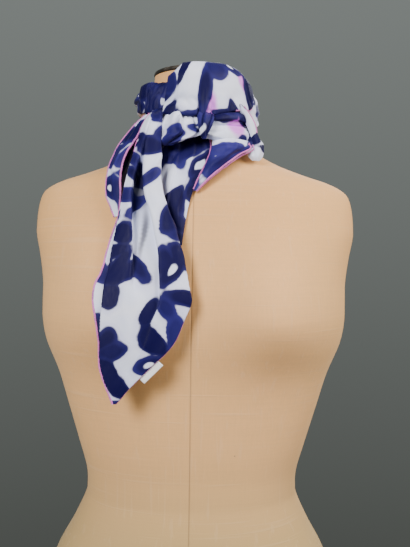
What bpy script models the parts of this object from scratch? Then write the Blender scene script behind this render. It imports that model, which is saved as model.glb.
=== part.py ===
"""Silk square scarf, tied in a half knot round the neck of a limbless dress form.

The form is one padded torso with a flat underside and a disc on its neck.  The scarf is one
square of silk; each stretch of it that shows is a wall of cloth lofted from a short table of
sections.  Tables are in millimetres, the scene is in metres, +Z is up, the chest faces -Y and
the origin is the centre of the form's flat underside.
"""

import math
from collections import namedtuple

import bpy
import bmesh
from mathutils import Vector

MM = 0.001

# ---- driving dimensions of the form ------------------------------------------------------
NECK_TOP = 731.0          # top of the padded neck, on its axis
NECK_CENTRE_Y = 1.5       # the neck's axis lies this far behind the origin
CAP_THICKNESS = 5.5
CAP_OVERHANG = 1.0        # the disc stands out this far round the neck
CAP_EDGE_ROUND = 1.2
NECK_LEAN = 0.07          # rise of the neck's top from front to back, per millimetre
NECK_LEAN_FROM = 672.0    # height where that lean begins
BUST_HALF_SPACING = 95.0
BUST_HEIGHT = 452.0
BUST_PROJECTION = 34.0
BUST_HALF_WIDTH = 47.0
BUST_RISE = 66.0          # softness of the slope above the bust line
BUST_FALL = 38.0          # and of the steeper one below it

# ---- driving dimensions of the cloth -----------------------------------------------------
CLOTH = 1.2               # wall of every stretch
CLEAR = 0.45              # air between the cloth and what it rests on
NECK_AIR = 1.1            # and between the wrap and the neck, whose sides are flat facets
LABEL_WALL = 1.0

# ---- colours -----------------------------------------------------------------------------
LINEN_TAN = (0.62, 0.45, 0.31)
CAP_BRONZE = (0.035, 0.03, 0.028)
SILK_WHITE = (0.78, 0.78, 0.83)
SILK_NAVY = (0.035, 0.035, 0.16)
SILK_BLUE = (0.09, 0.10, 0.36)
SILK_PINK = (0.72, 0.42, 0.68)
LABEL_WHITE = (0.86, 0.86, 0.86)

Ring = namedtuple("Ring", "z half_width front back squareness")
TORSO_RINGS = (
    Ring(0.0, 166, 104, 114, 2.30),
    Ring(45.0, 173, 110, 121, 2.30),
    Ring(90.0, 175, 112, 122, 2.30),
    Ring(135.0, 169, 110, 118, 2.28),
    Ring(173.0, 158, 104, 107, 2.25),
    Ring(210.0, 138, 97, 96, 2.20),
    Ring(245.0, 123, 91, 89, 2.18),
    Ring(270.0, 124, 91, 89, 2.18),
    Ring(305.0, 134, 94, 94, 2.20),
    Ring(345.0, 146, 97, 101, 2.25),
    Ring(385.0, 158, 99, 107, 2.30),
    Ring(420.0, 172, 101, 111, 2.35),
    Ring(450.0, 177, 100, 113, 2.40),
    Ring(485.0, 177, 97, 115, 2.40),
    Ring(515.0, 181, 93, 115, 2.40),
    Ring(545.0, 187, 88, 113, 2.35),
    Ring(570.0, 186, 83, 108, 2.25),
    Ring(588.0, 182, 78, 100, 2.15),
    Ring(597.0, 174, 75, 94, 2.10),
    Ring(605.0, 158, 72, 88, 2.05),
    Ring(614.0, 130, 69, 81, 2.00),
    Ring(626.0, 98, 65, 74, 2.00),
    Ring(642.0, 71, 60, 67, 2.00),
    Ring(664.0, 57.5, 55.5, 58.5, 2.00),
    Ring(690.0, 54, 52.5, 55.5, 2.00),
    Ring(715.0, 51.5, 50, 53, 2.00),
    Ring(NECK_TOP, 50.5, 49, 52, 2.00),
)

# A stretch that hangs in front of the chest.  Each row is one level section: its two edges
# (+X to the viewer's right), how far the left edge, the middle and the right edge stand in
# front of the origin, and how deep the fold down the middle is.
Drop = namedtuple("Drop", "z left right left_out middle_out right_out trough")
TAIL_FRONT = (
    Drop(677, -46, -36, 57, 62, 64, 0),
    Drop(667, -52, -37, 72, 78, 78, 0),
    Drop(655, -57, -36, 80, 86, 84, 1),
    Drop(630, -63, -35, 88, 95, 92, 5),
    Drop(605, -69, -34, 96, 103, 100, 10),
    Drop(580, -74, -31, 103, 110, 107, 13),
    Drop(555, -78, -22, 109, 116, 112, 12),
    Drop(528, -83, -13, 116, 122, 117, 9),
    Drop(503, -90, -6, 123, 130, 121, 6),
    Drop(485, -97, -2, 128, 134, 124, 4),
    Drop(469, -98, 1, 131, 136, 126, 3),
    Drop(448, -95, -9, 133, 137, 129, 2),
    Drop(427, -91, -23, 134, 137, 132, 1),
    Drop(405, -90, -41, 134, 136, 134, 0),
    Drop(386, -84, -59, 134, 135, 134, 0),
    Drop(369, -77, -72, 133, 133, 133, 0),
)
TAIL_BACK = (
    Drop(648, -28, 14, 74, 75, 74, 0),
    Drop(636, -30, 17, 76, 78, 76, 1),
    Drop(618, -33, 13, 79, 82, 79, 3),
    Drop(597, -33, 3, 81, 86, 82, 3),
    Drop(570, -28, -5, 86, 92, 88, 2),
    Drop(545, -20, -9, 93, 98, 95, 1),
    Drop(527, -14, -11, 99, 100, 100, 0),
)
FLAP_LEFT = (
    Drop(672, -57, -52, 54, 60, 64, 0),
    Drop(660, -68, -57, 60, 68, 72, 0),
    Drop(647, -77, -61, 65, 74, 79, 0),
    Drop(629, -86, -70, 71, 81, 86, 0),
    Drop(612, -92, -75, 78, 88, 92, 0),
    Drop(596, -94, -77, 83, 93, 97, 0),
    Drop(580, -93, -77, 88, 97, 101, 0),
    Drop(566, -87, -76, 94, 101, 104.6, 0),
    Drop(556, -82, -76, 101, 105, 107.5, 0),
)
FLAP_RIGHT = (
    Drop(642.4, 20, 66, 76.2, 77.2, 60, 1),
    Drop(636, 19, 74, 79, 82, 58, 2),
    Drop(628, 17, 64, 81, 85, 66, 4),
    Drop(616, 13, 43, 83, 87, 76, 4),
    Drop(602, 7, 21, 84, 87, 84, 2),
    Drop(587, 1, 5, 85, 86, 85, 0),
)
KNOT_LEFT = (
    Drop(677, -28, 2, 62, 70, 74, 0),
    Drop(666, -34, 3, 71, 79, 80, 0),
    Drop(657, -37, 5, 80.6, 88, 83, 1),
    Drop(646, -36, 6, 84, 92, 85, 3),
    Drop(637, -36, -8, 86, 90, 86, 2),
    Drop(630, -34, -25, 85, 85, 85, 0),
)
KNOT_LOOP = (
    Drop(677, 5, 19, 73, 74, 73, 0),
    Drop(667, 4, 20, 79, 80.2, 79, 0),
    Drop(660, 4, 20, 87, 91, 87, 2),
    Drop(652, 6, 17, 90, 95, 90, 2),
    Drop(641, 9, 13, 88, 91, 88, 0),
)
END_RIGHT = (
    Drop(664, 64, 68, 43, 44, 41, 0),
    Drop(655, 63, 70, 46, 48, 42, 0),
    Drop(645, 61, 76, 50, 54, 43, 0),
    Drop(637, 60, 77, 54, 58, 49, 0),
    Drop(631, 64, 73, 57, 58, 54, 0),
)

# A stretch that goes round the neck.  Each row is one upright section at a bearing, measured
# from the chest towards +X and given for its top and its lip: the heights of the two, how
# far the roll stands off the neck's axis at its fullest and at its lip, and how much of the
# hooked section, which starts on the neck and ends at the lip, is left out at its start.
Turn = namedtuple("Turn", "bearing lip_bearing top lip belly lip_out hidden")
WRAP_FRONT = (
    Turn(-17, -23, 720, 673, 80, 82, 0.42),
    Turn(-11, -15, 725, 671, 83, 84, 0.42),
    Turn(-3, -4, 729, 670, 84, 85, 0.20),
    Turn(10, 10, 730, 668, 84, 84, 0.0),
    Turn(25, 25, 731, 674, 82, 82, 0.0),
    Turn(38, 38, 731, 680, 80, 80, 0.20),
    Turn(50, 50, 726, 684, 77, 77, 0.42),
    Turn(59, 59, 718, 689, 76, 76, 0.46),
)
WRAP_LEFT = (
    Turn(-58, -62, 718, 686, 72, 70, 0.42),
    Turn(-50, -53, 716, 682, 74, 71, 0.40),
    Turn(-40, -42, 714, 679, 75, 73, 0.36),
    Turn(-28, -30, 716, 678, 75, 76, 0.36),
    Turn(-12, -19, 720, 677, 77, 79, 0.42),
)
WRAP_BACK = (
    Turn(44, 44, 712, 664, 71, 69, 0.0),
    Turn(62, 62, 712, 659, 74, 73, 0.0),
    Turn(85, 85, 718, 670, 75, 72, 0.0),
    Turn(115, 115, 721, 681, 73, 70, 0.0),
    Turn(150, 150, 723, 686, 73, 70, 0.0),
    Turn(185, 185, 724, 688, 72, 69, 0.0),
    Turn(220, 220, 724, 689, 73, 69, 0.0),
    Turn(255, 255, 721, 689, 72, 69, 0.0),
    Turn(285, 285, 716, 688, 71, 67, 0.0),
    Turn(312, 312, 706, 687, 68, 65, 0.0),
)

# The band from the knot round the right of the neck: two soft folds, one above the other.
Band = namedtuple("Band", "bearing top crease bottom out crease_depth")
BAND_RIGHT = (
    Band(7, 662, 655, 645, 84, 1),
    Band(15, 666, 657, 644, 85, 3),
    Band(24, 669, 659, 642, 85, 4),
    Band(34, 672, 661, 640, 83, 5),
    Band(44, 675, 662, 641, 80.5, 5),
    Band(50, 676, 663, 643, 79.5, 4),
)

LABEL_CORNERS = ((-35, 414), (-24, 404), (-43, 386), (-54, 396))
LABEL_OUT = 131.6


def clear_scene():
    for item in list(bpy.data.objects):
        bpy.data.objects.remove(item, do_unlink=True)


def material(name, colour, roughness, metallic=0.0):
    """One Principled material."""
    made = bpy.data.materials.new(name)
    made.use_nodes = True
    shader = made.node_tree.nodes["Principled BSDF"]
    shader.inputs["Base Color"].default_value = (*colour, 1.0)
    shader.inputs["Roughness"].default_value = roughness
    shader.inputs["Metallic"].default_value = metallic
    return made


def blend(rows, position):
    """The row at a fractional position in a table, on a smooth curve through all the rows."""
    last = len(rows) - 1
    index = min(int(position), last - 1)
    t = position - index
    a, b = rows[max(index - 1, 0)], rows[index]
    c, d = rows[index + 1], rows[min(index + 2, last)]
    values = []
    for p, q, r, s in zip(a, b, c, d):
        before, after = (r - p) / 2, (s - q) / 2
        if (r - q) * before <= 0:
            before = 0.0
        if (r - q) * after <= 0:
            after = 0.0
        values.append((2 * t**3 - 3 * t**2 + 1) * q + (t**3 - 2 * t**2 + t) * before
                      + (3 * t**2 - 2 * t**3) * r + (t**3 - t**2) * after)
    return type(rows[0])(*values)


def row_at(rows, z):
    """The ring at a height, from a table sorted by rising z."""
    index = 0
    while index < len(rows) - 2 and rows[index + 1].z < z:
        index += 1
    span = rows[index + 1].z - rows[index].z
    share = min(max((z - rows[index].z) / span, 0.0), 1.0)
    return blend(rows, index + share)


def bust(x, z):
    """How far the bust stands out of the chest at a point of the front."""
    slope = BUST_RISE if z > BUST_HEIGHT else BUST_FALL
    level = math.exp(-0.5 * ((z - BUST_HEIGHT) / slope) ** 2)
    sides = 0.0
    for side in (-1, 1):
        sides += math.exp(-0.5 * ((x - side * BUST_HALF_SPACING) / BUST_HALF_WIDTH) ** 2)
    return BUST_PROJECTION * level * sides


def chest(x, z):
    """How far the form's front stands in front of the origin at (x, z)."""
    ring = row_at(TORSO_RINGS, z)
    inside = max(1.0 - abs(x / ring.half_width) ** ring.squareness, 0.0)
    depth = inside ** (1.0 / ring.squareness)
    return ring.front * depth + bust(x, z) * math.sqrt(depth)


def neck_radius(z):
    return row_at(TORSO_RINGS, z).half_width


def add_object(name, mesh_data, finish):
    mesh = bpy.data.meshes.new(name)
    mesh_data.to_mesh(mesh)
    mesh_data.free()
    mesh.materials.append(finish)
    made = bpy.data.objects.new(name, mesh)
    bpy.context.collection.objects.link(made)
    return made


def loft_rings(name, rings, finish):
    """A solid from closed level rings, with flat ends."""
    body = bmesh.new()
    loops = []
    for ring in rings:
        loops.append([body.verts.new(Vector(point) * MM) for point in ring])
    count = len(loops[0])
    for low, high in zip(loops, loops[1:]):
        for i in range(count):
            j = (i + 1) % count
            body.faces.new((low[i], low[j], high[j], high[i]))
    body.faces.new(list(reversed(loops[0])))
    body.faces.new(loops[-1])
    bmesh.ops.recalc_face_normals(body, faces=body.faces)
    return add_object(name, body, finish)


def torso_ring(ring, steps):
    lean = NECK_LEAN * max(ring.z - NECK_LEAN_FROM, 0) / (NECK_TOP - NECK_LEAN_FROM)
    points = []
    for step in range(steps):
        angle = 2 * math.pi * step / steps
        cosine, sine = math.cos(angle), math.sin(angle)
        power = 2.0 / ring.squareness
        x = ring.half_width * math.copysign(abs(cosine) ** power, cosine)
        share = abs(sine) ** power
        if sine < 0:
            y = -(ring.front * share + bust(x, ring.z) * math.sqrt(share))
        else:
            y = ring.back * share
        points.append((x, y, ring.z + lean * y))
    return points


def build_torso(finish):
    steps_round = 56
    rows_between = 1.6
    last = len(TORSO_RINGS) - 1
    total = int(last * rows_between)
    rings = []
    for step in range(total + 1):
        rings.append(torso_ring(blend(TORSO_RINGS, last * step / total), steps_round))
    return loft_rings("form_torso", rings, finish)


def build_neck_cap(finish):
    """The disc that closes the neck, its edges rounded off."""
    steps_round = 48
    radius = neck_radius(NECK_TOP) + CAP_OVERHANG
    bottom = NECK_TOP + 0.3
    levels = ((bottom, radius - CAP_EDGE_ROUND), (bottom + CAP_EDGE_ROUND, radius),
              (bottom + CAP_THICKNESS - CAP_EDGE_ROUND, radius),
              (bottom + CAP_THICKNESS, radius - CAP_EDGE_ROUND))
    rings = []
    for z, r in levels:
        ring = []
        for step in range(steps_round):
            angle = 2 * math.pi * step / steps_round
            y = NECK_CENTRE_Y + r * math.sin(angle)
            ring.append((r * math.cos(angle), y, z + NECK_LEAN * y))
        rings.append(ring)
    return loft_rings("form_neck_cap", rings, finish)


def cloth_wall(name, grid, wall, finish):
    """A closed wall of cloth around a grid of points on its middle surface."""
    rows, columns = len(grid), len(grid[0])

    def normal(i, j):
        down = grid[min(i + 1, rows - 1)][j] - grid[max(i - 1, 0)][j]
        across = grid[i][min(j + 1, columns - 1)] - grid[i][max(j - 1, 0)]
        return across.cross(down).normalized()

    body = bmesh.new()
    faces = []
    for side in (0.5, -0.5):
        layer = []
        for i in range(rows):
            layer.append([body.verts.new((grid[i][j] + normal(i, j) * side * wall) * MM)
                          for j in range(columns)])
        faces.append(layer)
    outer, inner = faces
    for i in range(rows - 1):
        for j in range(columns - 1):
            body.faces.new((outer[i][j], outer[i][j + 1], outer[i + 1][j + 1], outer[i + 1][j]))
            body.faces.new((inner[i][j], inner[i + 1][j], inner[i + 1][j + 1], inner[i][j + 1]))
    rim = [(0, j) for j in range(columns)]
    rim += [(i, columns - 1) for i in range(1, rows)]
    rim += [(rows - 1, j) for j in range(columns - 2, -1, -1)]
    rim += [(i, 0) for i in range(rows - 2, 0, -1)]
    for (a, b), (c, d) in zip(rim, rim[1:] + rim[:1]):
        body.faces.new((outer[a][b], inner[a][b], inner[c][d], outer[c][d]))
    bmesh.ops.recalc_face_normals(body, faces=body.faces)
    return add_object(name, body, finish)


def drop_point(row, across):
    """A point of a hanging stretch: an arc from edge to edge with one trough down it."""
    x = row.left + (row.right - row.left) * across
    straight = row.left_out + (row.right_out - row.left_out) * across
    middle = row.middle_out - (row.left_out + row.right_out) / 2
    out = straight + middle * 4 * across * (1 - across)
    trough = math.exp(-0.5 * ((across - 0.5) / 0.13) ** 2) - 0.35 * math.sin(math.pi * across)
    out -= row.trough * trough
    rest = chest(x, row.z) + CLEAR + CLOTH / 2
    return Vector((x, -max(out, rest), row.z))


def build_drop(name, table, rows, columns, finish):
    last = len(table) - 1
    grid = []
    for i in range(rows):
        row = blend(table, last * i / (rows - 1))
        grid.append([drop_point(row, j / (columns - 1)) for j in range(columns)])
    return cloth_wall(name, grid, CLOTH, finish)


def around(bearing, radius, z):
    angle = math.radians(bearing)
    return Vector((radius * math.sin(angle), NECK_CENTRE_Y - radius * math.cos(angle), z))


def turn_point(row, along):
    """A point of a hooked section: up the neck, over the roll and down to the lip."""
    height = row.top - row.lip
    start = row.lip + 0.40 * height
    air = NECK_AIR + CLOTH / 2
    hug = neck_radius(row.top) + air
    profile = (
        (neck_radius(start) + air, start),
        (neck_radius(row.top - 0.22 * height) + air, row.top - 0.22 * height),
        (hug + 0.22 * (row.belly - hug), row.top - 0.03 * height),
        (hug + 0.62 * (row.belly - hug), row.top - 0.06 * height),
        (hug + 0.93 * (row.belly - hug), row.top - 0.26 * height),
        (row.belly, row.top - 0.50 * height),
        (0.5 * (row.belly + row.lip_out) + 0.6, row.lip + 0.22 * height),
        (row.lip_out, row.lip),
    )
    points = [Ring(z, radius, 0, 0, 0) for radius, z in profile]
    place = row.hidden + (1.0 - row.hidden) * along
    spot = blend(points, place * (len(points) - 1))
    turned = (row.top - spot.z) / height
    bearing = row.bearing + (row.lip_bearing - row.bearing) * turned
    return around(bearing, spot.half_width, spot.z)


def build_turn(name, table, rows, columns, finish):
    last = len(table) - 1
    grid = []
    for i in range(rows):
        row = blend(table, last * i / (rows - 1))
        grid.append([turn_point(row, j / (columns - 1)) for j in range(columns)])
    return cloth_wall(name, grid, CLOTH, finish)


def band_point(row, down):
    """A point of the two-fold band beside the knot."""
    z = row.top + (row.bottom - row.top) * down
    split = (row.top - row.crease) / (row.top - row.bottom)
    within = down / split if down < split else (1 - down) / (1 - split)
    fullness = math.sin(math.pi * min(within, 1.0)) ** 0.7
    return around(row.bearing, row.out - row.crease_depth * (1 - fullness), z)


def build_band(name, table, rows, columns, finish):
    last = len(table) - 1
    grid = []
    for i in range(rows):
        row = blend(table, last * i / (rows - 1))
        grid.append([band_point(row, j / (columns - 1)) for j in range(columns)])
    return cloth_wall(name, grid, CLOTH, finish)


def build_label(finish):
    """The blank care label, a flat slip behind the hanging end's hem."""
    body = bmesh.new()
    front = [body.verts.new(Vector((x, -LABEL_OUT - LABEL_WALL, z)) * MM) for x, z in LABEL_CORNERS]
    back = [body.verts.new(Vector((x, -LABEL_OUT, z)) * MM) for x, z in LABEL_CORNERS]
    body.faces.new(front)
    body.faces.new(list(reversed(back)))
    for i in range(4):
        j = (i + 1) % 4
        body.faces.new((front[i], back[i], back[j], front[j]))
    bmesh.ops.recalc_face_normals(body, faces=body.faces)
    return add_object("care_label", body, finish)


def main():
    clear_scene()
    linen = material("linen", LINEN_TAN, 0.85)
    bronze = material("cap_bronze", CAP_BRONZE, 0.45, 0.6)
    white = material("silk_white", SILK_WHITE, 0.55)
    navy = material("silk_navy", SILK_NAVY, 0.55)
    blue = material("silk_blue", SILK_BLUE, 0.55)
    pink = material("silk_pink", SILK_PINK, 0.55)
    blank = material("label_white", LABEL_WHITE, 0.7)

    build_torso(linen)
    build_neck_cap(bronze)
    build_turn("wrap_front", WRAP_FRONT, 16, 16, white)
    build_turn("wrap_left", WRAP_LEFT, 10, 12, navy)
    build_turn("wrap_back", WRAP_BACK, 32, 14, navy)
    build_band("band_right", BAND_RIGHT, 9, 13, pink)
    build_drop("knot_loop", KNOT_LOOP, 9, 9, blue)
    build_drop("knot_left", KNOT_LEFT, 9, 11, white)
    build_drop("end_right", END_RIGHT, 9, 7, navy)
    build_drop("flap_left", FLAP_LEFT, 14, 7, navy)
    build_drop("flap_right", FLAP_RIGHT, 11, 11, blue)
    build_drop("tail_back", TAIL_BACK, 12, 11, white)
    build_drop("tail_front", TAIL_FRONT, 24, 17, white)
    build_label(blank)


main()
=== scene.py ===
"""Silk square scarf knotted round the neck of a limbless dress form: finish and soft shapes.

Lengths in the tables are millimetres, in the frame's own axes: +Z up, the chest faces -Y.
"""

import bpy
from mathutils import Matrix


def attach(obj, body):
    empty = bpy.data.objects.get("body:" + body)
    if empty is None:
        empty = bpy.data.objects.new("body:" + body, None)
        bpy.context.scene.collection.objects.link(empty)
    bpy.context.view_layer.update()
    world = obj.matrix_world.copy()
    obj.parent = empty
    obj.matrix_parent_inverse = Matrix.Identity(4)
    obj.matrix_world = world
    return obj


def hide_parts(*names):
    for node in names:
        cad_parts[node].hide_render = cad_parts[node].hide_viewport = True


bl_info = {
    "name": "Silk scarf on a dress form",
    "version": (1, 0, 0),
    "blender": (4, 5, 0),
    "location": "3D View > Sidebar > Silk Scarf",
    "description": "Builds a printed silk square, tied round the neck of a linen-covered form",
    "category": "Add Mesh",
}

import math
import random
from collections import namedtuple

import bpy
import bmesh
from mathutils import Euler, Vector, noise

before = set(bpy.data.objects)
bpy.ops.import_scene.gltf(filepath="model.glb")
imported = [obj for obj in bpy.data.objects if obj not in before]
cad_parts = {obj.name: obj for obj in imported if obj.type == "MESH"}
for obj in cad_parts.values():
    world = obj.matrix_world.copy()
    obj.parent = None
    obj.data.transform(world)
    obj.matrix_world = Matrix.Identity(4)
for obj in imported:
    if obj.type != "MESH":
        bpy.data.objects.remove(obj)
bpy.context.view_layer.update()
MM = 0.001

NECK_CENTRE_Y = 1.5
NECK_TOP = 731.0
NECK_LEAN = 0.07
NECK_LEAN_FROM = 672.0
BUST_HALF_SPACING = 95.0
BUST_HEIGHT = 452.0
BUST_PROJECTION = 34.0
BUST_HALF_WIDTH = 47.0
BUST_RISE = 66.0
BUST_FALL = 38.0

Ring = namedtuple("Ring", "z half_width front back squareness")
TORSO_RINGS = (
    Ring(0.0, 166, 104, 114, 2.30),
    Ring(45.0, 173, 110, 121, 2.30),
    Ring(90.0, 175, 112, 122, 2.30),
    Ring(135.0, 169, 110, 118, 2.28),
    Ring(173.0, 158, 104, 107, 2.25),
    Ring(210.0, 138, 97, 96, 2.20),
    Ring(245.0, 123, 91, 89, 2.18),
    Ring(270.0, 124, 91, 89, 2.18),
    Ring(305.0, 134, 94, 94, 2.20),
    Ring(345.0, 146, 97, 101, 2.25),
    Ring(385.0, 158, 99, 107, 2.30),
    Ring(420.0, 172, 101, 111, 2.35),
    Ring(450.0, 177, 100, 113, 2.40),
    Ring(485.0, 177, 97, 115, 2.40),
    Ring(515.0, 181, 93, 115, 2.40),
    Ring(545.0, 187, 88, 113, 2.35),
    Ring(570.0, 186, 83, 108, 2.25),
    Ring(588.0, 182, 78, 100, 2.15),
    Ring(597.0, 174, 75, 94, 2.10),
    Ring(605.0, 158, 72, 88, 2.05),
    Ring(614.0, 130, 69, 81, 2.00),
    Ring(626.0, 98, 65, 74, 2.00),
    Ring(642.0, 71, 60, 67, 2.00),
    Ring(664.0, 57.5, 55.5, 58.5, 2.00),
    Ring(690.0, 54, 52.5, 55.5, 2.00),
    Ring(715.0, 51.5, 50, 53, 2.00),
    Ring(NECK_TOP, 50.5, 49, 52, 2.00),
)

# One level section of the long hanging end. `hem` is its left cut edge and `fold` the knife
# pleat in front of it, `tuck` how far the pleat runs under, `lip` how far the right edge is
# turned back behind. `trough` is the depth of the long hollow, whose floor reaches `half`
# either side of the share `at` of the width.
Tail = namedtuple("Tail", "z hem fold right hem_out fold_out middle_out right_out trough at "
                          "half tuck lip")
TAIL_FRONT = (
    Tail(681, -46, -46, -34, 54, 56, 61, 64, 0.0, 0.40, 0.06, 0.5, 3),
    Tail(674, -50, -49, -35, 58, 63, 67, 69, 0.0, 0.40, 0.06, 0.5, 4),
    Tail(667, -53, -52, -36, 68, 73, 79, 79, 0.0, 0.38, 0.06, 1.0, 4),
    Tail(655, -58, -57, -36, 76, 80, 87, 84, 1.0, 0.36, 0.07, 1.5, 5),
    Tail(640, -61, -60, -36, 82, 86, 93, 89, 1.5, 0.33, 0.07, 2.0, 6),
    Tail(625, -64, -64, -35, 87, 91, 97, 93, 4.5, 0.32, 0.08, 3.0, 7),
    Tail(605, -68, -69, -34, 93, 97, 103, 99, 15.0, 0.35, 0.10, 3.0, 8),
    Tail(582, -72, -73, -32, 99, 103, 109, 105, 20.0, 0.38, 0.15, 3.0, 9),
    Tail(560, -76, -76, -24, 104, 108, 115, 110, 18.0, 0.43, 0.18, 3.5, 10),
    Tail(540, -82, -79, -16, 108, 112, 120, 114, 15.0, 0.46, 0.17, 4.5, 10),
    Tail(520, -87, -82, -9, 113, 117, 124, 118, 12.5, 0.47, 0.17, 6.0, 10),
    Tail(500, -91, -84, -5, 120, 123, 130, 122, 9.5, 0.47, 0.17, 7.0, 8),
    Tail(485, -97, -87, -2, 126, 129, 134, 125, 7.0, 0.47, 0.17, 8.0, 6),
    Tail(470, -98, -88, 1, 129, 132, 136, 127, 4.5, 0.47, 0.16, 8.0, 3),
    Tail(452, -95, -89, -6, 131, 134, 137, 129, 2.5, 0.46, 0.15, 6.0, 0.6),
    Tail(427, -91, -89, -17, 133, 135, 137, 132, 1.0, 0.50, 0.10, 3.0, 0.5),
    Tail(405, -90, -90, -38, 133.5, 134, 136, 134, 0.5, 0.50, 0.10, 1.0, 0.5),
    Tail(386, -84, -84, -57, 133.5, 134, 135, 134, 0.0, 0.50, 0.10, 0.5, 0.5),
    Tail(367, -76.5, -76.4, -73, 133, 133, 133.2, 133, 0.0, 0.50, 0.10, 0.3, 0.3),
)

# One level section of any other hanging stretch: an arc from edge to edge.
Drop = namedtuple("Drop", "z left right left_out middle_out right_out")
TAIL_BACK = (
    Drop(652, -36, 14, 66, 68, 68),
    Drop(636, -39, 18, 68, 72, 72),
    Drop(618, -41, 13, 73, 80, 78),
    Drop(597, -41, 3, 79, 86, 82),
    Drop(570, -38, -5, 86, 92, 88),
    Drop(545, -27, -9, 93, 98, 95),
    Drop(527, -16, -11, 99, 100, 100),
)
FLAP_LEFT = (
    Drop(673, -57, -51, 54, 60, 63),
    Drop(660, -68, -56, 60, 68, 73),
    Drop(647, -77, -60, 65, 75, 81),
    Drop(636, -84, -66, 68, 79, 85),
    Drop(625, -88, -72, 72, 83, 88),
    Drop(612, -92, -76, 78, 88, 91),
    Drop(596, -94, -77, 83, 92, 96),
    Drop(580, -93, -76, 88, 97, 100),
    Drop(566, -87, -76, 94, 101, 104),
    Drop(556, -82, -77, 101, 104, 106),
)
# The inner layer under the left flap is made dark by painted shade over nearly all of it.
FLAP_UNDER = (
    Drop(660, -62, -50, 56, 61, 66),
    Drop(640, -76, -55, 62, 69, 75),
    Drop(620, -84, -58, 68, 76, 84),
    Drop(600, -88, -60, 74, 82, 89),
    Drop(580, -87, -64, 80, 88, 93),
    Drop(562, -82, -68, 92, 96, 99),
)
FLAP_RIGHT = (
    Drop(644, 19, 63, 74, 77, 60),
    Drop(636, 19, 64, 79, 82, 62),
    Drop(627, 17, 51, 81, 85, 70),
    Drop(616, 13, 37, 83, 87, 78),
    Drop(602, 7, 20, 84, 87, 84),
    Drop(586, 0, 3, 85, 86, 85),
)
KNOT_LEFT = (
    Drop(680, -32, 3, 60, 68, 72),
    Drop(668, -37, 4, 69, 78, 78),
    Drop(660, -38, 6, 78, 87, 84),
    Drop(651, -38, 8, 83, 92, 87),
    Drop(645, -37, 6, 85, 92, 88),
    Drop(640, -36, -8, 86, 91, 89),
    Drop(634, -35, -24, 84, 86, 87),
)
KNOT_LOOP = (
    Drop(681, 4, 20, 71, 72, 71),
    Drop(671, 3, 20, 79, 80.5, 79),
    Drop(664, 3, 21, 86, 91, 86),
    Drop(655, 4, 19, 90, 96, 90),
    Drop(647, 6, 15, 90, 95, 90),
    Drop(641, 9, 12.5, 88, 90, 88),
)
END_RIGHT = (
    Drop(671, 60, 67, 44, 46, 42),
    Drop(662, 59, 69, 48, 50, 43),
    Drop(652, 59, 72, 51, 55, 45),
    Drop(643, 58, 77, 55, 60, 48),
    Drop(635, 57, 77, 59, 63, 52),
    Drop(628, 59, 75, 61, 64, 56),
    Drop(623, 64, 71, 61, 62, 60),
)
CORNER_RIGHT = (
    Drop(687, 44, 51, 64, 64, 60),
    Drop(680, 47, 57, 62, 63, 56),
    Drop(671, 52, 64, 59, 59, 52),
    Drop(661, 58, 68, 56, 56, 49),
    Drop(649, 63, 69, 53, 53, 49),
)

# One upright section of a stretch that goes round the neck, at a bearing from the chest.
Turn = namedtuple("Turn", "bearing lip_bearing top lip belly lip_out hidden")
WRAP_FRONT = (
    Turn(-23, -25, 725, 673, 78, 82, 0.42),
    Turn(-15, -16, 730, 671, 82, 84, 0.38),
    Turn(-4, -4, 732, 670, 85, 85, 0.20),
    Turn(10, 10, 732, 669, 85, 84, 0.0),
    Turn(25, 25, 731.5, 674, 83, 82, 0.0),
    Turn(38, 38, 730, 680, 81, 81, 0.20),
    Turn(50, 50, 725, 683, 78, 79, 0.38),
    Turn(60, 58, 717, 688, 76, 77, 0.46),
)
WRAP_LEFT = (
    Turn(-60, -64, 720, 684, 74, 72, 0.40),
    Turn(-50, -53, 719, 680, 75, 73, 0.38),
    Turn(-41, -42, 714, 678, 76, 74, 0.34),
    Turn(-30, -30, 712, 677, 75, 76, 0.34),
    Turn(-14, -19, 722, 677, 76, 79, 0.42),
)
WRAP_BACK = (
    Turn(40, 40, 711, 664, 70, 69, 0.0),
    Turn(52, 50, 712, 656, 73, 71, 0.0),
    Turn(66, 64, 713, 656, 73.5, 71.5, 0.0),
    Turn(85, 84, 718, 668, 73, 70, 0.0),
    Turn(115, 115, 722, 680, 73, 70, 0.0),
    Turn(150, 150, 723, 686, 74, 70, 0.0),
    Turn(185, 185, 724, 688, 72, 69, 0.0),
    Turn(220, 220, 724, 689, 74, 69, 0.0),
    Turn(255, 255, 721, 688, 72, 69, 0.0),
    Turn(285, 285, 716, 687, 71, 67, 0.0),
    Turn(314, 314, 706, 687, 68, 65, 0.0),
)

# One upright section of the two-fold band beside the knot.
Band = namedtuple("Band", "bearing top crease bottom out crease_depth")
BAND_RIGHT = (
    Band(5, 664, 655, 644, 83, 1.0),
    Band(12, 667, 656, 642, 85, 3.0),
    Band(20, 671, 658, 640, 86, 4.5),
    Band(30, 675, 660, 639, 84.5, 6.0),
    Band(40, 678, 661, 639, 82.5, 6.5),
    Band(48, 680, 662, 641, 80.5, 6.0),
    Band(53, 680, 663, 644, 78, 4.0),
)

# A crease pressed into a stretch: from one place to another, each given as a share across
# and a share down the stretch, its half width and its height (a hollow is negative).
Crease = namedtuple("Crease", "across down to_across to_down half_width height")
# The edge of a fold: from one place to another as above, how far the raised side reaches
# back from the edge, and how high it stands. The raised side is on the left of the way.
Fold = namedtuple("Fold", "across down to_across to_down reach height")
# Painted shade in a hollow, along a fold's edge or in a shadowed gap: its centre as shares across
# and down, its two half sizes, its turn in degrees and how far it narrows towards one end.
PaintedShade = namedtuple("PaintedShade", "across down half_long half_short turn taper")
# A mark on the flat cloth in millimetres: a petal, a bare fleck, a rose patch or a patch of painted
# shade.
Mark = namedtuple("Mark", "u v half_long half_short turn taper tone")

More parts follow.
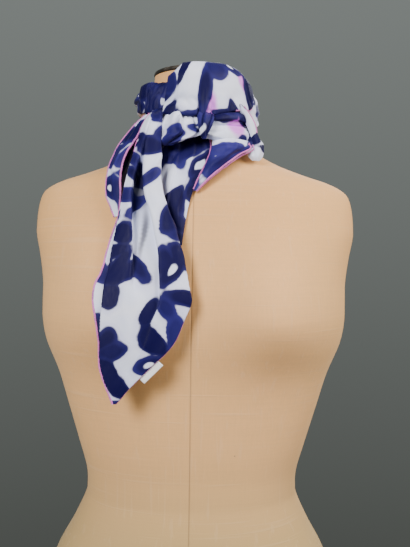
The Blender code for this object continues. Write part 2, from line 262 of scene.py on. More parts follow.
CREASES = {
    "tail_front": (
        Crease(0.72, 0.02, 0.80, 0.42, 2.2, 1.5),
        Crease(0.86, 0.10, 0.90, 0.55, 1.6, -1.6),
        Crease(0.36, 0.03, 0.30, 0.30, 2.0, 1.0),
        Crease(0.62, 0.18, 0.66, 0.60, 3.5, 1.3),
        Crease(0.50, 0.50, 0.56, 0.72, 4.0, -0.9),
        Crease(0.78, 0.48, 0.72, 0.74, 4.5, 1.0),
        Crease(0.34, 0.62, 0.42, 0.86, 4.0, 0.8),
        Crease(0.70, 0.74, 0.48, 0.92, 5.0, -0.8),
    ),
    "tail_back": (
        Crease(0.30, 0.00, 0.45, 0.70, 2.5, 1.6),
        Crease(0.62, 0.00, 0.60, 0.85, 2.2, -1.6),
        Crease(0.84, 0.05, 0.80, 0.60, 1.8, 1.2),
        Crease(0.10, 0.10, 0.20, 0.50, 2.2, -1.1),
    ),
    "flap_left": (
        Crease(0.40, 0.02, 0.45, 0.65, 2.0, 1.0),
        Crease(0.72, 0.00, 0.66, 0.40, 1.5, -1.0),
        Crease(0.30, 0.55, 0.55, 0.95, 2.4, -1.0),
    ),
    "flap_under": (
        Crease(0.40, 0.00, 0.50, 0.90, 2.5, -1.2),
    ),
    "flap_right": (
        Crease(0.02, 0.30, 0.72, 0.22, 2.0, -1.4),
        Crease(0.45, 0.02, 0.50, 0.55, 2.2, 1.3),
        Crease(0.70, 0.05, 0.62, 0.45, 1.6, -1.0),
        Crease(0.20, 0.10, 0.30, 0.70, 2.0, 0.8),
    ),
    "knot_left": (
        Crease(0.62, 0.16, 0.56, 0.84, 2.4, -2.6),
        Crease(0.30, 0.12, 0.14, 0.80, 4.0, 2.4),
        Crease(0.74, 0.30, 0.66, 0.74, 3.2, 2.0),
        Crease(0.84, 0.16, 0.94, 0.58, 1.1, -1.6),
        Crease(0.12, 0.20, 0.04, 0.80, 1.6, -1.2),
        Crease(0.72, 0.18, 0.86, 0.52, 1.1, -1.4),
    ),
    "knot_loop": (
        Crease(0.24, 0.10, 0.30, 0.95, 1.3, 1.8),
        Crease(0.56, 0.10, 0.40, 0.92, 0.9, -2.8),
        Crease(0.62, 0.10, 0.60, 0.95, 1.3, 1.6),
        Crease(0.86, 0.12, 0.66, 0.88, 0.9, -2.2),
    ),
    "end_right": (
        Crease(0.30, 0.00, 0.35, 1.00, 1.5, -1.8),
        Crease(0.68, 0.10, 0.60, 0.95, 1.6, 1.6),
    ),
    "band_right": (
        Crease(0.00, 0.22, 0.80, 0.16, 1.6, -1.0),
        Crease(0.05, 0.66, 0.95, 0.80, 2.6, 1.2),
        Crease(0.00, 0.84, 0.55, 0.92, 1.4, -1.4),
        Crease(0.30, 0.30, 1.00, 0.36, 1.8, 0.8),
        Crease(0.00, 0.56, 0.40, 0.60, 1.3, -1.0),
    ),
    "wrap_front": (
        Crease(0.04, 0.74, 0.32, 0.97, 3.0, 1.5),
        Crease(0.02, 0.66, 0.30, 0.86, 2.6, -1.9),
        Crease(0.36, 0.98, 0.30, 0.74, 1.6, -1.8),
        Crease(0.345, 0.99, 0.36, 0.84, 1.5, -3.4),
        Crease(0.43, 0.99, 0.44, 0.82, 1.5, -3.4),
        Crease(0.39, 0.99, 0.40, 0.72, 1.8, 1.2),
        Crease(0.60, 0.98, 0.74, 0.66, 3.5, -1.2),
        Crease(0.16, 0.40, 0.30, 0.70, 5.0, 1.0),
        Crease(0.66, 0.34, 0.88, 0.60, 4.0, 1.1),
        Crease(0.80, 0.40, 0.96, 0.72, 2.4, -1.4),
        Crease(0.55, 0.30, 0.60, 0.60, 6.0, 0.8),
    ),
    "wrap_left": (
        Crease(0.18, 0.10, 0.14, 0.95, 1.8, 1.4),
        Crease(0.30, 0.05, 0.24, 0.98, 1.5, -1.8),
        Crease(0.44, 0.08, 0.36, 0.92, 1.8, 1.4),
        Crease(0.56, 0.02, 0.46, 0.80, 1.3, -1.7),
        Crease(0.78, 0.10, 0.58, 0.94, 2.2, 1.5),
        Crease(0.70, 0.40, 0.60, 0.98, 1.4, -1.5),
        Crease(0.92, 0.15, 0.80, 0.90, 2.6, -1.3),
    ),
    "wrap_back": (
        Crease(0.02, 0.60, 0.20, 0.72, 2.6, 1.8),
        Crease(0.03, 0.74, 0.24, 0.84, 1.8, -1.8),
        Crease(0.10, 0.92, 0.34, 0.70, 2.4, 1.3),
        Crease(0.22, 0.52, 0.44, 0.74, 2.6, -1.6),
        Crease(0.30, 0.84, 0.58, 0.62, 3.0, 1.6),
        Crease(0.38, 0.46, 0.52, 0.58, 2.0, -1.3),
        Crease(0.46, 0.80, 0.74, 0.72, 2.2, -1.7),
        Crease(0.56, 0.50, 0.80, 0.62, 2.6, 1.5),
        Crease(0.66, 0.88, 0.90, 0.80, 2.0, 1.3),
        Crease(0.74, 0.52, 0.96, 0.66, 1.8, -1.5),
        Crease(0.82, 0.76, 0.99, 0.86, 1.8, 1.4),
    ),
}

FOLDS = {
    "knot_left": (
        Fold(0.46, 0.88, 0.56, 0.08, 10.0, 6.5),
        Fold(0.60, 0.95, 0.92, 0.48, 4.0, 2.2),
        Fold(0.02, 0.55, 0.30, 0.06, 5.0, 2.0),
    ),
    "band_right": (
        Fold(0.98, 0.30, 0.05, 0.24, 6.0, -2.2),
        Fold(0.02, 0.78, 0.60, 0.88, 5.0, 1.4),
    ),
    "wrap_left": (
        Fold(0.34, 0.98, 0.40, 0.06, 5.0, 2.4),
        Fold(0.66, 0.04, 0.50, 0.97, 6.0, 2.6),
        Fold(0.86, 0.02, 0.72, 0.97, 5.0, 1.6),
    ),
    "flap_right": (
        Fold(0.98, 0.16, 0.05, 0.22, 8.0, 2.0),
    ),
    "wrap_front": (
        Fold(0.02, 0.88, 0.34, 0.98, 7.0, 1.8),
    ),
    "wrap_back": (
        Fold(0.10, 0.62, 0.36, 0.72, 7.0, 1.5),
        Fold(0.24, 0.84, 0.52, 0.66, 8.0, 2.2),
        Fold(0.34, 0.50, 0.68, 0.62, 7.0, 2.0),
        Fold(0.48, 0.88, 0.78, 0.74, 6.0, 2.2),
        Fold(0.60, 0.56, 0.92, 0.70, 7.0, 2.4),
        Fold(0.74, 0.88, 0.99, 0.80, 5.0, 1.8),
    ),
    "tail_back": (
        Fold(0.20, 0.78, 0.34, 0.02, 6.0, 2.2),
        Fold(0.66, 0.70, 0.70, 0.02, 6.0, 2.0),
    ),
    "flap_left": (
        Fold(0.62, 0.55, 0.66, 0.08, 4.0, 1.6),
    ),
    "tail_front": (
        Fold(0.70, 0.20, 0.82, 0.03, 6.0, 1.6),
        Fold(0.90, 0.52, 0.88, 0.34, 4.0, 1.4),
    ),
}

# The print is laid by rule: fans of broad petals stand on a staggered, uneven lattice.
PETALS = 4                # petals in one fan
FAN = 0.62                # share of the whole turn that a fan opens to
PETAL_HALF_LONG = 21.0
PETAL_HALF_SHORT = 10.0
HEART_GAP = 1.25          # a petal's middle from its heart, in half lengths
FLECK_SHARE = 0.12        # share of the petals with a bare fleck inside
FLECK_SIZE = 0.3          # a fleck's size beside its petal's
ROSE_HALF_LONG = 20.0
ROSE_HALF_SHORT = 12.0
ROW_SHARE = 0.85          # a row of fans from the next, beside how far apart they stand
# How one stretch is printed: how far apart its fans stand, their tone from navy (0 and
# less) to blue (1), the share of the hearts that are rose, and the seed of its draws.
Print = namedtuple("Print", "apart tone rose seed")
PRINTS = {
    "tail_front": Print(66, 0.05, 0.10, 31),
    "tail_back": Print(60, 0.10, 0.10, 12),
    "flap_left": Print(44, 0.15, 0.0, 13),
    "flap_under": Print(70, 0.0, 0.0, 14),
    "flap_right": Print(44, 0.50, 0.0, 15),
    "knot_left": Print(74, 0.30, 0.15, 16),
    "knot_loop": Print(36, 0.35, 0.0, 17),
    "end_right": Print(34, -0.45, 0.0, 18),
    "corner_right": Print(34, -0.45, 0.0, 19),
    "band_right": Print(76, 0.05, 1.0, 20),
    "wrap_front": Print(58, 0.0, 0.05, 21),
    "wrap_left": Print(38, 0.0, 0.0, 22),
    "wrap_back": Print(58, 0.10, 0.10, 23),
}
# Painted shade: dark grey laid under the dye where the silk turns in on itself, along fold edges
# and in the gap under the knot.
PAINTED_SHADES = {
    "tail_front": (
        PaintedShade(0.41, 0.370, 26, 12.0, 90, 0.35),
        PaintedShade(0.50, 0.50, 30, 3.6, 90, -0.3),
    ),
    "flap_under": (
        PaintedShade(0.40, 0.50, 60, 18, 86, 0.0),
        PaintedShade(0.70, 0.30, 30, 10, 86, 0.0),
    ),
    "tail_back": (
        PaintedShade(0.05, 0.30, 26, 8, 84, 0.0),
        PaintedShade(0.10, 0.10, 16, 9, 60, 0.0),
        PaintedShade(0.86, 0.12, 7, 3.4, 80, 0.0),
    ),
    "knot_left": (
        PaintedShade(0.10, 0.55, 13, 0.9, 84, 0.0),
        PaintedShade(0.43, 0.66, 16, 2.0, 110, 0.0),
        PaintedShade(0.30, 0.97, 22, 3.0, 175, 0.0),
    ),
}

# The care label's corners (x, z), and how far in front of the origin it hangs.
LABEL_CORNERS = ((-37, 415), (-26.5, 406), (-45, 387.5), (-56, 397))
LABEL_OUT = 131.6
SURROUND_LOW = (0.072, 0.078, 0.071)
SURROUND_HIGH = (0.20, 0.22, 0.21)

CLOTH_AIR = 0.7           # air between the silk's middle and what it lies on
KNOT_FOOT = 655.0         # height below which a hanging stretch can reach the chest
SHOULDER = 600.0          # height above which the form has no side seams
TORSO_STEPS = 160         # even steps round the form
TORSO_ROWS = 182
SEAM_OFFSETS = (0.0008, 0.0022, 0.0055, 0.012)    # extra steps beside a seam, in radians
CAP_STEPS = 128
SEED_STEP = 11.0          # from one stretch's unevenness to the next one's
THREAD_RADIUS = 0.00016
NO_SOLID = ("flap_under", "corner_right")         # stretches that stand for no CAD solid
DEEP, SHALLOW = 12.0, -30.0                       # limits of how deep inside a mark counts
EDGES = {}                # cut edges of the stretches built so far, for the hems
GRIDS = {}                # middle surfaces of the stretches built so far


# ---- sections and surfaces ---------------------------------------------------------------
def blend(rows, position):
    """The row at a fractional position in a table, on a smooth curve through all the rows."""
    last = len(rows) - 1
    index = min(int(position), last - 1)
    t = position - index
    a, b = rows[max(index - 1, 0)], rows[index]
    c, d = rows[index + 1], rows[min(index + 2, last)]
    values = []
    for p, q, r, s in zip(a, b, c, d):
        before, after = (r - p) / 2, (s - q) / 2
        if (r - q) * before <= 0:
            before = 0.0
        if (r - q) * after <= 0:
            after = 0.0
        values.append((2 * t**3 - 3 * t**2 + 1) * q + (t**3 - 2 * t**2 + t) * before
                      + (3 * t**2 - 2 * t**3) * r + (t**3 - t**2) * after)
    return type(rows[0])(*values)


def row_at(rows, z):
    """The ring at a height, from a table sorted by rising z."""
    index = 0
    while index < len(rows) - 2 and rows[index + 1].z < z:
        index += 1
    span = rows[index + 1].z - rows[index].z
    share = min(max((z - rows[index].z) / span, 0.0), 1.0)
    return blend(rows, index + share)


def bust(x, z):
    """How far the bust stands out of the chest at a point of the front."""
    slope = BUST_RISE if z > BUST_HEIGHT else BUST_FALL
    level = math.exp(-0.5 * ((z - BUST_HEIGHT) / slope) ** 2)
    sides = 0.0
    for side in (-1, 1):
        sides += math.exp(-0.5 * ((x - side * BUST_HALF_SPACING) / BUST_HALF_WIDTH) ** 2)
    return BUST_PROJECTION * level * sides


def chest(x, ring):
    """How far the form's front stands in front of the origin at x on one of its rings."""
    inside = max(1.0 - abs(x / ring.half_width) ** ring.squareness, 0.0)
    depth = inside ** (1.0 / ring.squareness)
    return ring.front * depth + bust(x, ring.z) * math.sqrt(depth)


def neck_radius(z):
    return row_at(TORSO_RINGS, z).half_width


def smooth_line(points, count):
    """Evenly spaced points on a smooth curve through a few control points."""
    dense = []
    last = len(points) - 1
    for i in range(last):
        a, b = points[max(i - 1, 0)], points[i]
        c, d = points[i + 1], points[min(i + 2, last)]
        for k in range(8):
            t = k / 8
            dense.append(0.5 * ((2 * b) + (c - a) * t + (2 * a - 5 * b + 4 * c - d) * t * t
                                + (3 * b - a - 3 * c + d) * t ** 3))
    dense.append(points[-1].copy())
    lengths = [0.0]
    for a, b in zip(dense, dense[1:]):
        lengths.append(lengths[-1] + (b - a).length)
    made, k = [], 0
    for i in range(count):
        want = lengths[-1] * i / (count - 1)
        while k < len(dense) - 2 and lengths[k + 1] < want:
            k += 1
        span = lengths[k + 1] - lengths[k]
        share = 0.0 if span < 1e-9 else (want - lengths[k]) / span
        made.append(dense[k].lerp(dense[k + 1], share))
    return made


def around(bearing, radius, z):
    angle = math.radians(bearing)
    return Vector((radius * math.sin(angle), NECK_CENTRE_Y - radius * math.cos(angle), z))


def tail_section(row):
    """The long end: a cut edge, a knife pleat, a long hollow and a turned-back right edge."""
    width = row.right - row.fold
    steep = min(row.trough / 12.0, 1.0)

    def main(share, sunk=0.0):
        straight = row.fold_out + (row.right_out - row.fold_out) * share
        crown = row.middle_out - (row.fold_out + row.right_out) / 2
        out = straight + crown * 4 * share * (1 - share) - row.trough * sunk
        return Vector((row.fold + width * share, -out, row.z))

    points = [Vector((row.hem, -row.hem_out, row.z))]
    under = row.hem_out + (row.fold_out - row.hem_out) * 0.5
    points.append(Vector((row.fold + row.tuck * 0.8, -min(under, row.fold_out - 1.6), row.z)))
    points.append(Vector((row.fold + row.tuck, -(row.fold_out - 0.9), row.z)))
    points.append(Vector((row.fold + 0.25 * row.tuck, -(row.fold_out - 0.35), row.z)))
    start, end = row.at - row.half, row.at + row.half
    points.append(main(0.0, 0.05 * steep))
    points.append(main(0.5 * start))
    points.append(main(start - 0.02, 0.03))
    points.append(main(start + 0.5 * row.half * (1 - steep), 0.25 + 0.2 * steep))
    points.append(main(start + 1.0 * row.half * (1 - steep), 0.5 + 0.35 * steep))
    points.append(main(end - 0.4 * row.half, 0.92 + 0.08 * steep))
    points.append(main(end + 0.01 * steep, 0.95))
    points.append(main(end + 0.02, 0.5))
    points.append(main(end + 0.02, 0.08))
    points.append(main(end + 0.3 * (1.0 - end)))
    points.append(main(end + 0.7 * (1.0 - end)))
    points.append(main(0.97))
    points.append(main(1.0, 0.03 * steep))
    points.append(Vector((row.right - 0.35 * row.lip, -(row.right_out - 1.4), row.z)))
    points.append(Vector((row.right - row.lip, -(row.right_out - 2.0), row.z)))
    return points


def drop_section(row):
    points = []
    for share in (0.0, 0.15, 0.3, 0.5, 0.7, 0.85, 1.0):
        straight = row.left_out + (row.right_out - row.left_out) * share
        crown = row.middle_out - (row.left_out + row.right_out) / 2
        out = straight + crown * 4 * share * (1 - share)
        points.append(Vector((row.left + (row.right - row.left) * share, -out, row.z)))
    return points


def turn_section(row):
    """A hooked section: up the neck, over the roll and down to the lip."""
    height = row.top - row.lip
    start = row.lip + 0.40 * height
    air = 1.8
    hug = neck_radius(row.top) + air
    profile = (
        (neck_radius(start) + air, start),
        (neck_radius(row.top - 0.22 * height) + air, row.top - 0.22 * height),
        (hug + 0.22 * (row.belly - hug), row.top - 0.03 * height),
        (hug + 0.62 * (row.belly - hug), row.top - 0.06 * height),
        (hug + 0.93 * (row.belly - hug), row.top - 0.26 * height),
        (row.belly, row.top - 0.50 * height),
        (0.5 * (row.belly + row.lip_out) + 0.6, row.lip + 0.22 * height),
        (row.lip_out, row.lip),
        (row.lip_out - 2.5, row.lip - 0.8),
        (row.lip_out - 6.0, row.lip + 1.2),
    )
    points = []
    for radius, z in profile:
        turned = (row.top - z) / height
        bearing = row.bearing + (row.lip_bearing - row.bearing) * turned
        points.append(around(bearing, radius, z))
    keep = row.hidden * (len(points) - 1)
    first = int(keep)
    points[first] = points[first].lerp(points[first + 1], keep - first)
    return points[first:]


def band_section(row):
    points = []
    for down in (0.0, 0.06, 0.18, 0.32, 0.45, 0.5, 0.56, 0.7, 0.84, 0.95, 1.0):
        upper = down < 0.5
        within = down / 0.5 if upper else (down - 0.5) / 0.5
        top, bottom = (row.top, row.crease) if upper else (row.crease, row.bottom)
        fullness = math.sin(math.pi * min(max(within, 0.0), 1.0)) ** 0.7
        depth = row.crease_depth * (1 - fullness)
        points.append(around(row.bearing, row.out - depth, top + (bottom - top) * within))
    return points


def lattice(table, section, rows, columns):
    """Middle surface of a stretch: sections at even steps along a table."""
    last = len(table) - 1
    grid = []
    for i in range(rows):
        row = blend(table, last * i / (rows - 1))
        grid.append(smooth_line(section(row), columns))
    return grid


def lengths_of(grid):
    """Where each point lies on the flat cloth, in millimetres: (across, down)."""
    rows, columns = len(grid), len(grid[0])
    middle = columns // 2
    down, flat = 0.0, []
    for i in range(rows):
        if i:
            down += (grid[i][middle] - grid[i - 1][middle]).length
        line = [0.0]
        for j in range(1, columns):
            line.append(line[-1] + (grid[i][j] - grid[i][j - 1]).length)
        flat.append([(s - line[-1] / 2, down) for s in line])
    return flat


def normals_of(grid, turned=False):
    """Outward normals; `turned` grids have their rows round the neck, not down the chest."""
    rows, columns = len(grid), len(grid[0])
    way = -1.0 if turned else 1.0
    made = []
    for i in range(rows):
        line = []
        for j in range(columns):
            down = grid[min(i + 1, rows - 1)][j] - grid[max(i - 1, 0)][j]
            across = grid[i][min(j + 1, columns - 1)] - grid[i][max(j - 1, 0)]
            line.append(down.cross(across).normalized() * way)
        made.append(line)
    return made


def spot(flat, across, down):
    """A share across and down a stretch, as millimetres on its flat cloth."""
    rows, columns = len(flat), len(flat[0])
    i = min(max(int(round(down * (rows - 1))), 0), rows - 1)
    j = min(max(int(round(across * (columns - 1))), 0), columns - 1)
    return flat[i][j]


def placed_lines(flat, lines, turned):
    """Creases or folds with their two ends in millimetres on the flat cloth."""
    made = []
    for line in lines:
        a, b = (line.across, line.down), (line.to_across, line.to_down)
        if turned:
            a, b = (a[1], a[0]), (b[1], b[0])
        made.append((spot(flat, *a), spot(flat, *b), line[4], line[5]))
    return made


def folded(u, v, folds, way):
    """How far folds raise the cloth at a point: full height at the edge, none beyond it."""
    lift = 0.0
    for (au, av), (bu, bv), reach, height in folds:
        du, dv = bu - au, bv - av
        root = math.hypot(du, dv)
        along = ((u - au) * du + (v - av) * dv) / root ** 2
        if not -0.15 < along < 1.15:
            continue
        bow = 0.10 * root * math.sin(math.pi * min(max(along, 0.0), 1.0))
        beside = ((u - au) * dv - (v - av) * du) / root * way + bow * 0.5
        edge = 1.0 / (1.0 + math.exp(min(max(-beside / 0.35, -40.0), 40.0)))
        back = math.exp(-((max(beside, 0.0) / reach) ** 2))
        ends = min(max((along + 0.15) / 0.3, 0.0), 1.0) * min(max((1.15 - along) / 0.3, 0.0), 1.0)
        lift += height * edge * back * ends
    return lift


def press(grid, name, turned=False, ripple=0.35, seed=0.0):
    """Press creases, folds and a little unevenness into a middle surface."""
    flat = lengths_of(grid)
    normals = normals_of(grid, turned)
    ends = placed_lines(flat, CREASES.get(name, ()), turned)
    folds = placed_lines(flat, FOLDS.get(name, ()), turned)
    way = -1.0 if turned else 1.0
    made = []
    for i, line in enumerate(grid):
        row = []
        for j, point in enumerate(line):
            u, v = flat[i][j]
            lift = 0.0
            for (au, av), (bu, bv), half_width, height in ends:
                du, dv = bu - au, bv - av
                size = du * du + dv * dv
                along = min(max(((u - au) * du + (v - av) * dv) / size, 0.0), 1.0)
                bend = 0.18 * math.sqrt(size) * math.sin(math.pi * along) * math.sin(au + bv)
                root = math.sqrt(size)
                gu, gv = au + du * along - dv / root * bend, av + dv * along + du / root * bend
                away = math.hypot(u - gu, v - gv)
                swell = half_width * (0.75 + 0.6 * along)
                fade = math.sin(math.pi * (0.12 + 0.76 * along)) ** 0.8
                lift += height * fade * math.exp(-0.5 * (away / swell) ** 2)
            wave = noise.noise(Vector((u * 0.05, v * 0.022, seed)))
            wave += 0.4 * noise.noise(Vector((u * 0.16, v * 0.08, seed + 7.0)))
            lift += ripple * wave
            lift += folded(u, v, folds, way)
            row.append(point + normals[i][j] * lift)
        made.append(row)
    return made


def rest_on_chest(grid):
    """Keep a hanging stretch in front of the form."""
    for line in grid:
        for point in line:
            if point.z < KNOT_FOOT:
                ring = row_at(TORSO_RINGS, point.z)
                nearest = chest(point.x, ring) + CLOTH_AIR
                if -point.y < nearest:
                    point.y = -nearest
    return grid


def fans(style, flat):
    """The petals, bare flecks and rose patches printed on a stretch's flat cloth."""
    draws = random.Random(style.seed)
    left, right = min(line[0][0] for line in flat), max(line[-1][0] for line in flat)
    petals, flecks, roses = [], [], []
    row = 0
    v = style.apart * draws.uniform(0.1, 0.5)
    while v < flat[-1][0][1] + style.apart / 2:
        u = left + style.apart * (draws.uniform(-0.2, 0.3) + 0.5 * (row % 2))
        while u < right + style.apart / 2:
            heart_u = u + style.apart * draws.uniform(-0.15, 0.15)
            heart_v = v + style.apart * draws.uniform(-0.15, 0.15)
            start = draws.uniform(0.0, 1.0)
            if draws.random() < style.rose:
                roses.append(Mark(heart_u, heart_v, ROSE_HALF_LONG, ROSE_HALF_SHORT,
                                  0.0, 0.1, 0.0))
            for k in range(PETALS):
                share = start + FAN * (k + draws.uniform(-0.15, 0.15)) / PETALS
                turn = 2 * math.pi * share
                half = PETAL_HALF_LONG * draws.uniform(0.65, 1.25)
                wide = PETAL_HALF_SHORT * draws.uniform(0.7, 1.3)
                petal_u = heart_u + HEART_GAP * half * math.cos(turn)
                petal_v = heart_v + HEART_GAP * half * math.sin(turn)
                tone = style.tone + draws.uniform(-0.3, 0.3)
                petals.append(Mark(petal_u, petal_v, half, wide, turn,
                                   draws.uniform(0.1, 0.45), tone))
                if draws.random() < FLECK_SHARE:
                    flecks.append(Mark(petal_u, petal_v, FLECK_SIZE * half,
                                       FLECK_SIZE * wide, turn, 0.3, 0.0))
            u += style.apart
        v += ROW_SHARE * style.apart
        row += 1
    return petals, flecks, roses


def laid(painted_shades, flat):
    """A stretch's patches of painted shade as marks on its flat cloth."""
    made = []
    for painted_shade in painted_shades:
        u, v = spot(flat, painted_shade.across, painted_shade.down)
        made.append(Mark(u, v, painted_shade.half_long, painted_shade.half_short, math.radians(painted_shade.turn),
                         painted_shade.taper, 0.0))
    return made


def field(marks, flat):
    """How deep inside the nearest mark each point lies (mm), and that mark's tone."""
    made = []
    for line in flat:
        row = []
        for u, v in line:
            best, weight, tone, share = SHALLOW, 0.0, 0.0, 0.0
            for mark in marks:
                du, dv = u - mark.u, v - mark.v
                if math.hypot(du, dv) > 2.0 * max(mark.half_long, mark.half_short) + DEEP:
                    continue
                along = du * math.cos(mark.turn) + dv * math.sin(mark.turn)
                side = -du * math.sin(mark.turn) + dv * math.cos(mark.turn)
                t = along / mark.half_long
                half = mark.half_short * (1.0 + mark.taper * t)
                reach = math.hypot(t, side / max(half, 0.5))
                inside = (1.0 - reach) * min(mark.half_short, mark.half_long)
                inside = min(max(inside, SHALLOW), DEEP)
                weight += math.exp(inside * 0.9)
                mild = math.exp(inside * 0.28)
                tone += mild * mark.tone
                share += mild
            if weight:
                best, tone = max(math.log(weight) / 0.9, SHALLOW), tone / share
            row.append((best, tone))
        made.append(row)
    return made


# ---- meshes ------------------------------------------------------------------------------
def finish_mesh(name, mesh_data, material):
    mesh = bpy.data.meshes.new(name)
    mesh_data.to_mesh(mesh)
    mesh_data.free()
    for polygon in mesh.polygons:
        polygon.use_smooth = True
    mesh.materials.append(material)
    made = bpy.data.objects.new(name, mesh)
    bpy.context.scene.collection.objects.link(made)
    return made


def closed_wall(body, outer, inner):
    """The faces of two matching sheets of vertices and of the rim that joins them."""
    rows, columns = len(outer), len(outer[0])
    corners = []
    for i in range(rows - 1):
        for j in range(columns - 1):
            corners.append((outer[i][j], outer[i][j + 1], outer[i + 1][j + 1], outer[i + 1][j]))
            corners.append((inner[i][j], inner[i + 1][j], inner[i + 1][j + 1], inner[i][j + 1]))
    rim = [(0, j) for j in range(columns)]
    rim += [(i, columns - 1) for i in range(1, rows)]
    rim += [(rows - 1, j) for j in range(columns - 2, -1, -1)]
    rim += [(i, 0) for i in range(rows - 2, 0, -1)]
    for (a, b), (c, d) in zip(rim, rim[1:] + rim[:1]):
        corners.append((outer[a][b], inner[a][b], inner[c][d], outer[c][d]))
    for four in corners:
        body.faces.new(four)
    bmesh.ops.recalc_face_normals(body, faces=body.faces)


def cloth_piece(name, grid, pattern, turned, wall, material):
    """A thin closed wall of cloth on a middle surface, with the fields of its print and of its
    painted shade.
    """
    body = bmesh.new()
    layer_uv = body.loops.layers.uv.new("cloth")
    layers = [body.verts.layers.float.new(kind) for kind in ("ink", "tone", "bare", "rose", "painted_shade")]
    flat = lengths_of(grid)
    normals = normals_of(grid, turned)
    petals, flecks, patches = fans(PRINTS[pattern], flat)
    # Painted shade: how deep each point lies inside a patch of grey shade.
    painted_shades = laid(PAINTED_SHADES.get(pattern, ()), flat)
    inks, bares, roses, shade_field = (field(marks, flat) for marks in (petals, flecks, patches, painted_shades))
    places, sides = {}, []
    for side in (0.5, -0.5):
        sheet = []
        for i, points in enumerate(grid):
            line = []
            for j, point in enumerate(points):
                vert = body.verts.new((point + normals[i][j] * side * wall) * MM)
                values = (*inks[i][j], bares[i][j][0], roses[i][j][0], shade_field[i][j][0])
                for layer, value in zip(layers, values):
                    vert[layer] = value
                u, v = flat[i][j]
                places[vert] = (v * MM, u * MM) if turned else (u * MM, v * MM)
                line.append(vert)
            sheet.append(line)
        sides.append(sheet)
    closed_wall(body, *sides)
    for face in body.faces:
        for loop in face.loops:
            loop[layer_uv].uv = places[loop.vert]
    return finish_mesh(name, body, material)


def area_of(grid):
    """Area of a middle surface in square metres."""
    total = 0.0
    for a, b in zip(grid, grid[1:]):
        for j in range(len(a) - 1):
            total += (b[j + 1] - a[j]).cross(b[j] - a[j + 1]).length / 2
    return total * MM * MM


def flat_size(grid, turned):
    """The cut of a stretch as it shows: widest width, middle length and area."""
    flat = lengths_of(grid)
    width = max(line[-1][0] - line[0][0] for line in flat) * MM
    length = flat[-1][0][1] * MM
    area = area_of(grid)
    if area > width * length:
        length = area / width * 1.001
    size = (length, width) if turned else (width, length)
    return size, area


# ---- materials ---------------------------------------------------------------------------
class Nodes:
    """Short calls that add nodes to one material and join them."""

    def __init__(self, name):
        self.material = bpy.data.materials.new(name)
        self.material.use_nodes = True
        self.tree = self.material.node_tree
        self.shader = self.tree.nodes["Principled BSDF"]

    def add(self, kind, **settings):
        node = self.tree.nodes.new(kind)
        for key, value in settings.items():
            setattr(node, key, value)
        return node

    def join(self, source, target):
        self.tree.links.new(source, target)

    def math(self, operation, a, b=None, clamp=False):
        node = self.add("ShaderNodeMath", operation=operation, use_clamp=clamp)
        for socket, value in zip(node.inputs, (a, b)):
            if value is None:
                continue
            if isinstance(value, (int, float)):
                socket.default_value = value
            else:
                self.join(value, socket)
        return node.outputs[0]

    def ramp(self, value, low, high, to_low=0.0, to_high=1.0):
        node = self.add("ShaderNodeMapRange", interpolation_type="SMOOTHSTEP")
        self.join(value, node.inputs["Value"])
        node.inputs["From Min"].default_value = low
        node.inputs["From Max"].default_value = high
        node.inputs["To Min"].default_value = to_low
        node.inputs["To Max"].default_value = to_high
        return node.outputs["Result"]

    def mix(self, share, a, b):
        node = self.add("ShaderNodeMix", data_type="RGBA")
        factor, first, second = node.inputs[0], node.inputs[6], node.inputs[7]
        for socket, value in ((factor, share), (first, a), (second, b)):
            if isinstance(value, (int, float)):
                socket.default_value = value
            elif isinstance(value, (tuple, list)) or hasattr(value, "hsv"):
                socket.default_value = (*tuple(value)[:3], 1.0)
            else:
                self.join(value, socket)
        return node.outputs[2]

    def stretched(self, vector, scale):
        node = self.add("ShaderNodeMapping")
        node.inputs["Scale"].default_value = scale
        self.join(vector, node.inputs["Vector"])
        return node.outputs[0]

    def noise(self, vector, scale, detail=2.0, roughness=0.5, stretch=None):
        if stretch is not None:
            vector = self.stretched(vector, stretch)
        node = self.add("ShaderNodeTexNoise")
        self.join(vector, node.inputs["Vector"])
        node.inputs["Scale"].default_value = scale
        node.inputs["Detail"].default_value = detail
        node.inputs["Roughness"].default_value = roughness
        return node.outputs["Fac"]

    def wave(self, vector, scale, direction, distortion):
        node = self.add("ShaderNodeTexWave", bands_direction=direction)
        self.join(vector, node.inputs["Vector"])
        node.inputs["Scale"].default_value = scale
        node.inputs["Distortion"].default_value = distortion
        node.inputs["Detail"].default_value = 1.0
        return node.outputs["Fac"]

    def object_place(self):
        return self.add("ShaderNodeTexCoord").outputs["Object"]

    def surface(self, **values):
        """Set or join the shader's own sockets, named with underscores for spaces."""
        for key, value in values.items():
            socket = self.shader.inputs[key.replace("_", " ")]
            if isinstance(value, (int, float)):
                socket.default_value = value
            else:
                self.join(value, socket)
        return self.material

    def attribute(self, name):
        return self.add("ShaderNodeAttribute", attribute_name=name).outputs["Fac"]

    def bump(self, height, strength, distance, under=None):
        node = self.add("ShaderNodeBump")
        node.inputs["Strength"].default_value = strength
        node.inputs["Distance"].default_value = distance
        self.join(height, node.inputs["Height"])
        if under is not None:
            self.join(under, node.inputs["Normal"])
        return node.outputs[0]


